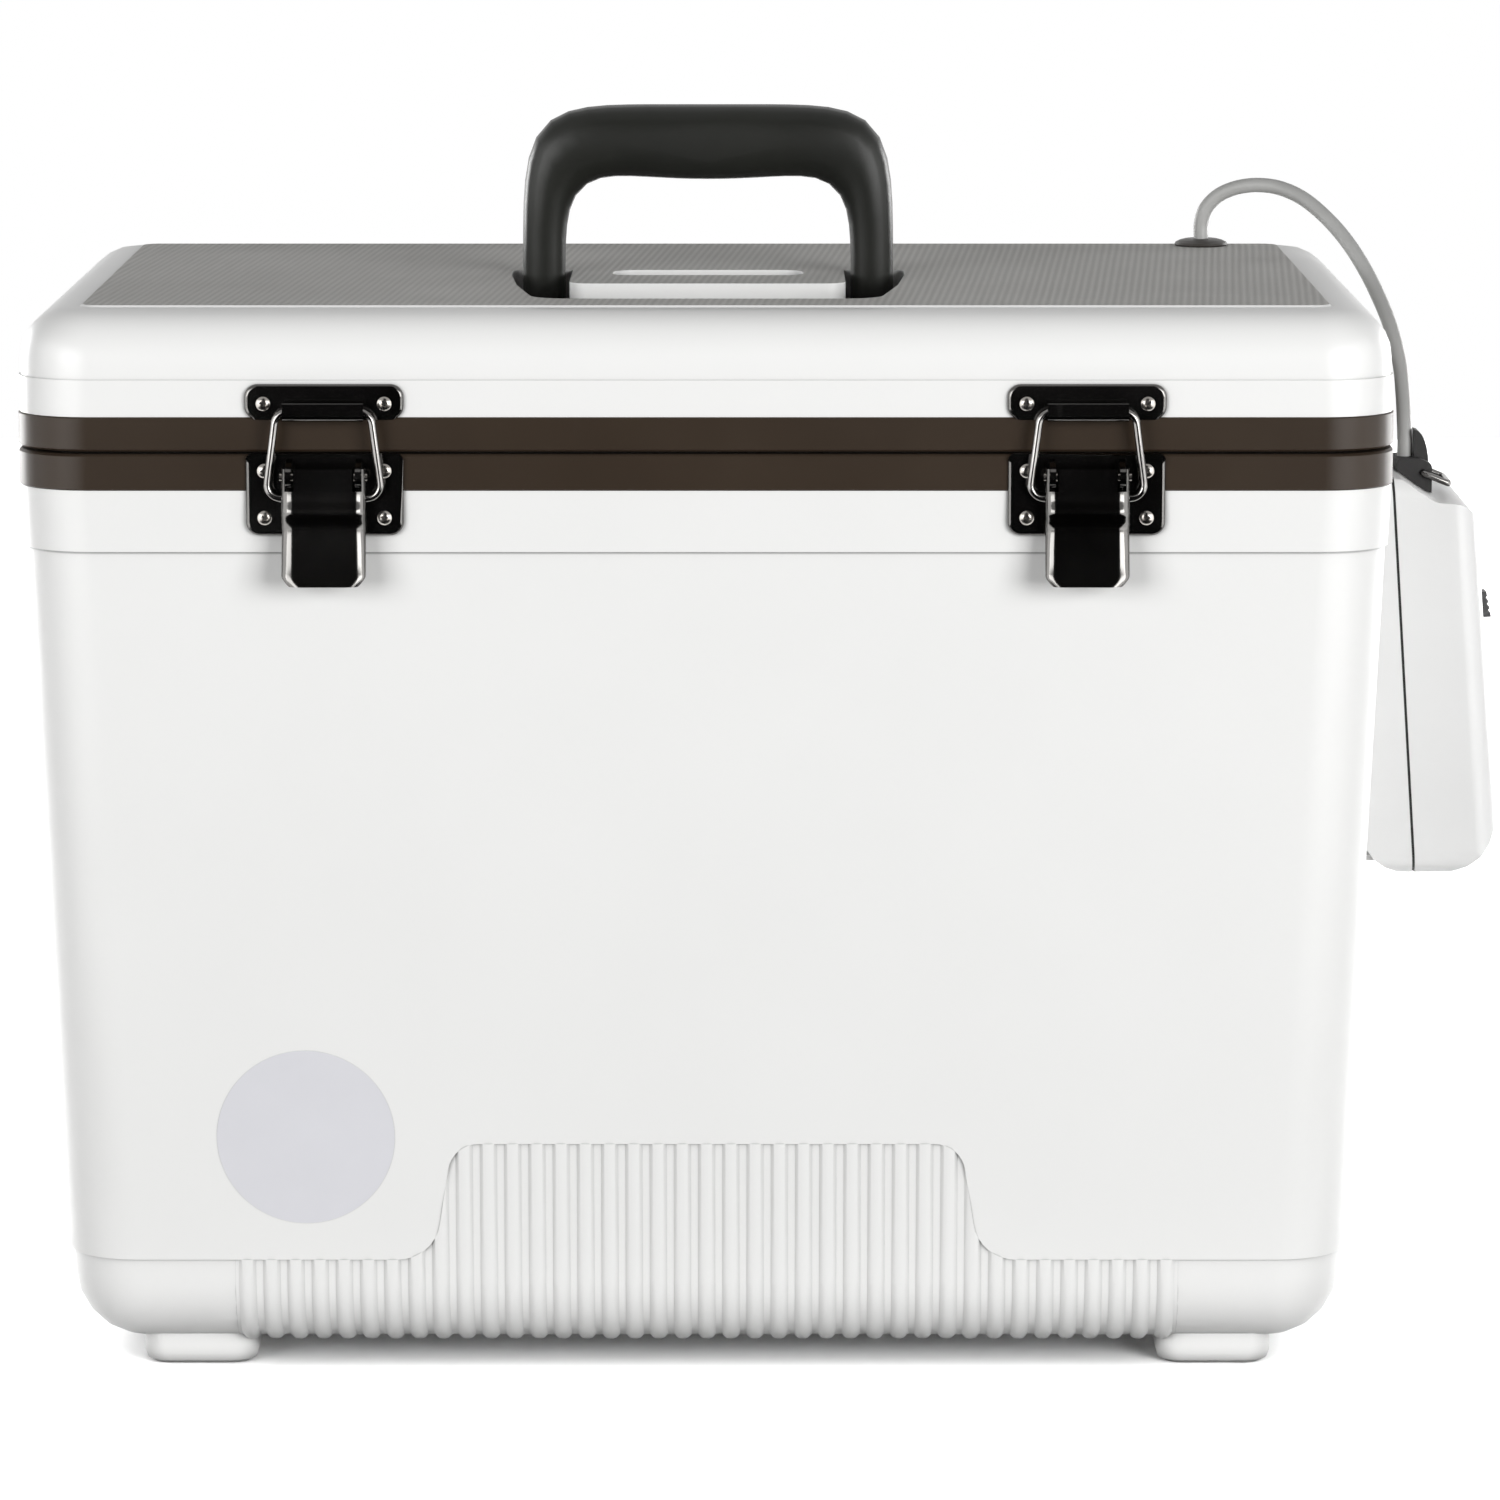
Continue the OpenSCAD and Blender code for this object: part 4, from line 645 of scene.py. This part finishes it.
# ---- Lid shell ------------------------------------------------------------------------------
# The lid is a second white moulding. Its top panel is stippled with rows of small dimples, and a
# deep recess with a pad in the middle takes the folded handle.
rows, rows_in, rows_out = new_group("dimple_rows", [("Pitch", 385), ("Cloud", 14)],
                                    ["Height", "Tone"])
dots = rows.nodes.new("ShaderNodeTexVoronoi")
dots.voronoi_dimensions = "2D"
dots.inputs["Randomness"].default_value = 0
slanted = rows.nodes.new("ShaderNodeMapping")
slanted.inputs["Rotation"].default_value = (0, 0, radians(4))
rows.links.new(rows_in.outputs["Vector"], slanted.inputs["Vector"])
rows.links.new(slanted.outputs[0], dots.inputs["Vector"])
rows.links.new(rows_in.outputs["Pitch"], dots.inputs["Scale"])
rows.links.new(ranged(rows, dots.outputs["Distance"], 0.15, 0.45), rows_out.inputs["Height"])
cloud = noise(rows, rows_in.outputs["Vector"], rows_in.outputs["Cloud"], 3)
# The tone is darker in each dimple: painted shade
rows.links.new(maths(rows, "MULTIPLY", ranged(rows, cloud, 0.3, 0.7, 0.75, 1),
                     ranged(rows, dots.outputs["Distance"], 0.1, 0.45, 0.25, 1)),
               rows_out.inputs["Tone"])
# The white panel is painted grey as shade on a top that the low lamps light less, and its dimples
# darker still as their painted shade
panel_painted_shade = finish("stippled_panel_painted_grey", (0.76, 0.75, 0.725), (0.46, 0.455, 0.435), 0.62, 2.0e-4,
                  texture=rows, sizes=(385, 14), specular=0.12, worn=0.1)
lid_top = 0.3823


def panel(f):
    """The second material for the flat top, and the first for all else."""
    return 1 if f.normal.z > 0.99 and f.calc_center_median().z > lid_top - 0.0002 else 0


dressed("lid_shell", [white_skin, panel_painted_shade], crease=25, shade=panel)


# ---- Lid collar, liner and seal -------------------------------------------------------------
# The lid's own brown frame, the white plug that reaches into the well, and a lip seal of soft
# grey rubber between lid and collar.
dressed("lid_collar", [brown], crease=25)
dressed("lid_liner", [liner_skin], crease=32)
grey_lip = finish("grey_lip_rubber", (0.24, 0.24, 0.24), (0.19, 0.19, 0.19), 0.6, 1.5e-5,
                  sizes=(900, 30), specular=0.3)
dressed("lid_seal", [grey_lip], crease=30)


# ---- Handle ---------------------------------------------------------------------------------
# One thick bow in dark olive-grey polypropylene, satin, with a grip that hangs lower in its
# middle. It turns on two pins through its legs.
olive = finish("olive_grey_satin", (0.014, 0.0145, 0.012), (0.010, 0.0105, 0.009), 0.36, 1.4e-5,
               sizes=(1300, 16), specular=0.2, worn=0.1)
dressed("carry_handle", [olive], crease=40)


# ---- Latch levers ---------------------------------------------------------------------------
# Each lever is a channel pressed from 1.1 mm sheet with well rounded sides, a hump for the thumb
# and a lip that flares out. It is plated like the plates it sits on.
latches = (("left", -132.3), ("right", 132.3))
pivot_y, pivot_z = -156.1, 325.5
bail_y, bail_z = -154.5, 317.8
lever_top, lever_lip, lever_rows = 3, -37.5, 48


def lever_face(b):
    """How far the face stands out from the pivot at height b over it, in millimetres."""
    return 3.4 + 1.6 * exp(-((b + 12) / 3.2) ** 2) + 4.2 * (max(0, -b - 14) / 23.5) ** 1.9


def lever_back(b):
    """How far out the rear edge of the sides lies."""
    rear = [(-37.5, 5.2), (-30, 2.2), (-20, -0.2), (-14, -2.2), (-10.6, -4.2), (-5.6, -4.3),
            (0, -3.2), (3, -1.6)]
    for (b0, o0), (b1, o1) in zip(rear, rear[1:]):
        if b <= b1:
            return o0 + (o1 - o0) * (b - b0) / (b1 - b0)
    return rear[-1][1]


def lever_section(b):
    """The bent sheet at height b: across and out, from one rear edge round to the other."""
    foot = b - lever_lip
    half = 14.6 - 2.6 * max(0, 1 - foot / 3.5) ** 1.5
    face, back = lever_face(b), lever_back(b)
    deep = min(3.2, 0.8 * (face - back))
    turn = [(half - 4.2 * (1 - sin(a * pi / 18)), face - deep * (1 - cos(a * pi / 18)))
            for a in range(10)]
    side = [(-x, o) for x, o in reversed([*turn, (half, back)])]
    return [*side, *turn, (half, back)]


for side, x in latches:
    bm = bmesh.new()
    heights = [lever_top - (lever_top - lever_lip) * k / lever_rows for k in range(lever_rows + 1)]
    row = [bm.verts.new(at(x + a, pivot_y - o, pivot_z + heights[0]))
           for a, o in lever_section(heights[0])]
    edges = [bm.edges.new(pair) for pair in zip(row, row[1:])]
    for b in heights[1:]:
        grown = bmesh.ops.extrude_edge_only(bm, edges=edges)["geom"]
        edges = [g for g in grown if isinstance(g, bmesh.types.BMEdge)]
        new = sorted((g for g in grown if isinstance(g, bmesh.types.BMVert)),
                     key=lambda v: min(range(len(row)), key=lambda k: (row[k].co - v.co).length))
        for v, (a, o) in zip(new, lever_section(b)):
            v.co = at(x + a, pivot_y - o, pivot_z + b)
        row = new
    bm.normal_update()
    if sum(f.normal.y for f in bm.faces) > 0:
        bmesh.ops.reverse_faces(bm, faces=bm.faces)
    lever = shaped("lever_" + side + "_pressing", bm)
    sheet = lever.modifiers.new("sheet", "SOLIDIFY")
    sheet.thickness, sheet.offset = 0.0011, -1
    # Slots for the base's ears, and the holes for the two pins
    cutter = bmesh.new()
    for s in (-1, 1):
        bmesh.ops.create_cube(cutter, size=1,
                              matrix=Matrix.Translation(at(x + s * 11.8, -158.9, 326.8))
                              @ Matrix.Diagonal((0.0032, 0.0066, 0.0122, 1)))
    for y, z, r in ((pivot_y, pivot_z, 0.00158), (bail_y, bail_z, 0.00146)):
        bmesh.ops.create_cone(cutter, cap_ends=True, segments=32, radius1=r, radius2=r, depth=0.06,
                              matrix=Matrix.Translation(at(x, y, z))
                              @ Matrix.Rotation(pi / 2, 4, "Y"))
    cut_by(lever, cutter)
    bm = bmesh.new()
    bm.from_mesh(lever.data)
    shaded(bm, 32)
    bm.to_mesh(lever.data)
    bm.free()
    lever.data.materials.append(black_nickel)
    evened(lever)
    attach(lever, "lever_" + side)
    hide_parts("latch_lever_" + side)


# ---- Bails ----------------------------------------------------------------------------------
# A bail of bright 2.8 mm wire turns in each lever, spreads round it and hooks on the strike, so
# that the lever draws the lid down.
for side, x in latches:
    hook_z = 348
    bail = bent_wire("bail_" + side + "_wire", "bail_" + side, "latch_bail_" + side,
                     [at(x + a, bail_y, b) for a, b in (
                         (13.3, bail_z), (20.25, bail_z), (16.4, hook_z),
                         (-16.4, hook_z), (-20.25, bail_z), (-13.3, bail_z))],
                     0.0048, 0.00138, wire)


# ---- Grommet, air stone and hoses -----------------------------------------------------------
# A dark rubber grommet passes the grey silicone hose through the lid. The hose arches over from
# the pump's boot, and inside it hangs down to a stone of sintered glass that makes the bubbles.
grommet = finish("brown_black_rubber", (0.030, 0.026, 0.022), (0.022, 0.019, 0.016), 0.45, 1.5e-5,
                 sizes=(900, 60), specular=0.4)
paint("hose_grommet", grommet)
sintered = finish("sintered_stone", (0.20, 0.30, 0.42), (0.13, 0.20, 0.30), 0.9, 3e-4,
                  texture=cells, sizes=(1200, 120), specular=0.2)
paint("air_stone", sintered)
silicone = finish("grey_silicone", (0.42, 0.42, 0.41), (0.37, 0.37, 0.36), 0.42, 8e-6,
                  sizes=(1000, 40), specular=0.35)
paint("hose_in_lid", silicone)


def hose(name, replaced, route, radius):
    """A tube on a smooth curve through the route's points."""
    points = [at(*p) for p in route]
    points = [points[0] * 2 - points[1], *points, points[-1] * 2 - points[-2]]
    path = []
    for p, q, r, s in zip(points, points[1:], points[2:], points[3:]):
        for k in range(6):
            t = k / 6
            path.append(0.5 * (2 * q + (r - p) * t + (2 * p - 5 * q + 4 * r - s) * t * t
                               + (3 * q - p - 3 * r + s) * t ** 3))
    path.append(points[-2])
    tube = round_rod(name, path, radius, 5, silicone)
    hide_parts(replaced)
    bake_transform(tube)
    return tube, path, sum((b - a).length for a, b in zip(path, path[1:]))


over, over_path, over_long = hose(
    "hose_over_lid", "air_hose_outer",
    [(189, 118, 385), (189, 118, 391), (191, 117.5, 397), (196, 116.5, 402), (203, 114.5, 405),
     (211, 111.5, 406), (219, 107, 405), (227, 100.5, 401.5), (235, 92.5, 395), (242, 84, 387),
     (248, 75, 377.5), (253, 66, 367), (257, 57, 356), (259.5, 48, 344), (260, 40, 334),
     (260, 33, 324), (260, 30, 317), (260, 30, 311.2)],
    0.0028)

down, down_path, down_long = hose(
    "hose_in_well", "air_hose_inner",
    [(189, 118, 321.5), (189, 118, 314), (188.5, 115, 300), (187, 108, 283), (184.5, 100, 264),
     (182, 92, 242), (180, 87, 220), (178, 84, 200), (177, 82, 180), (176, 81, 160), (176, 80, 140),
     (176, 80, 120), (176, 80, 100), (176, 80, 84), (176, 80, 76)],
    0.0028)
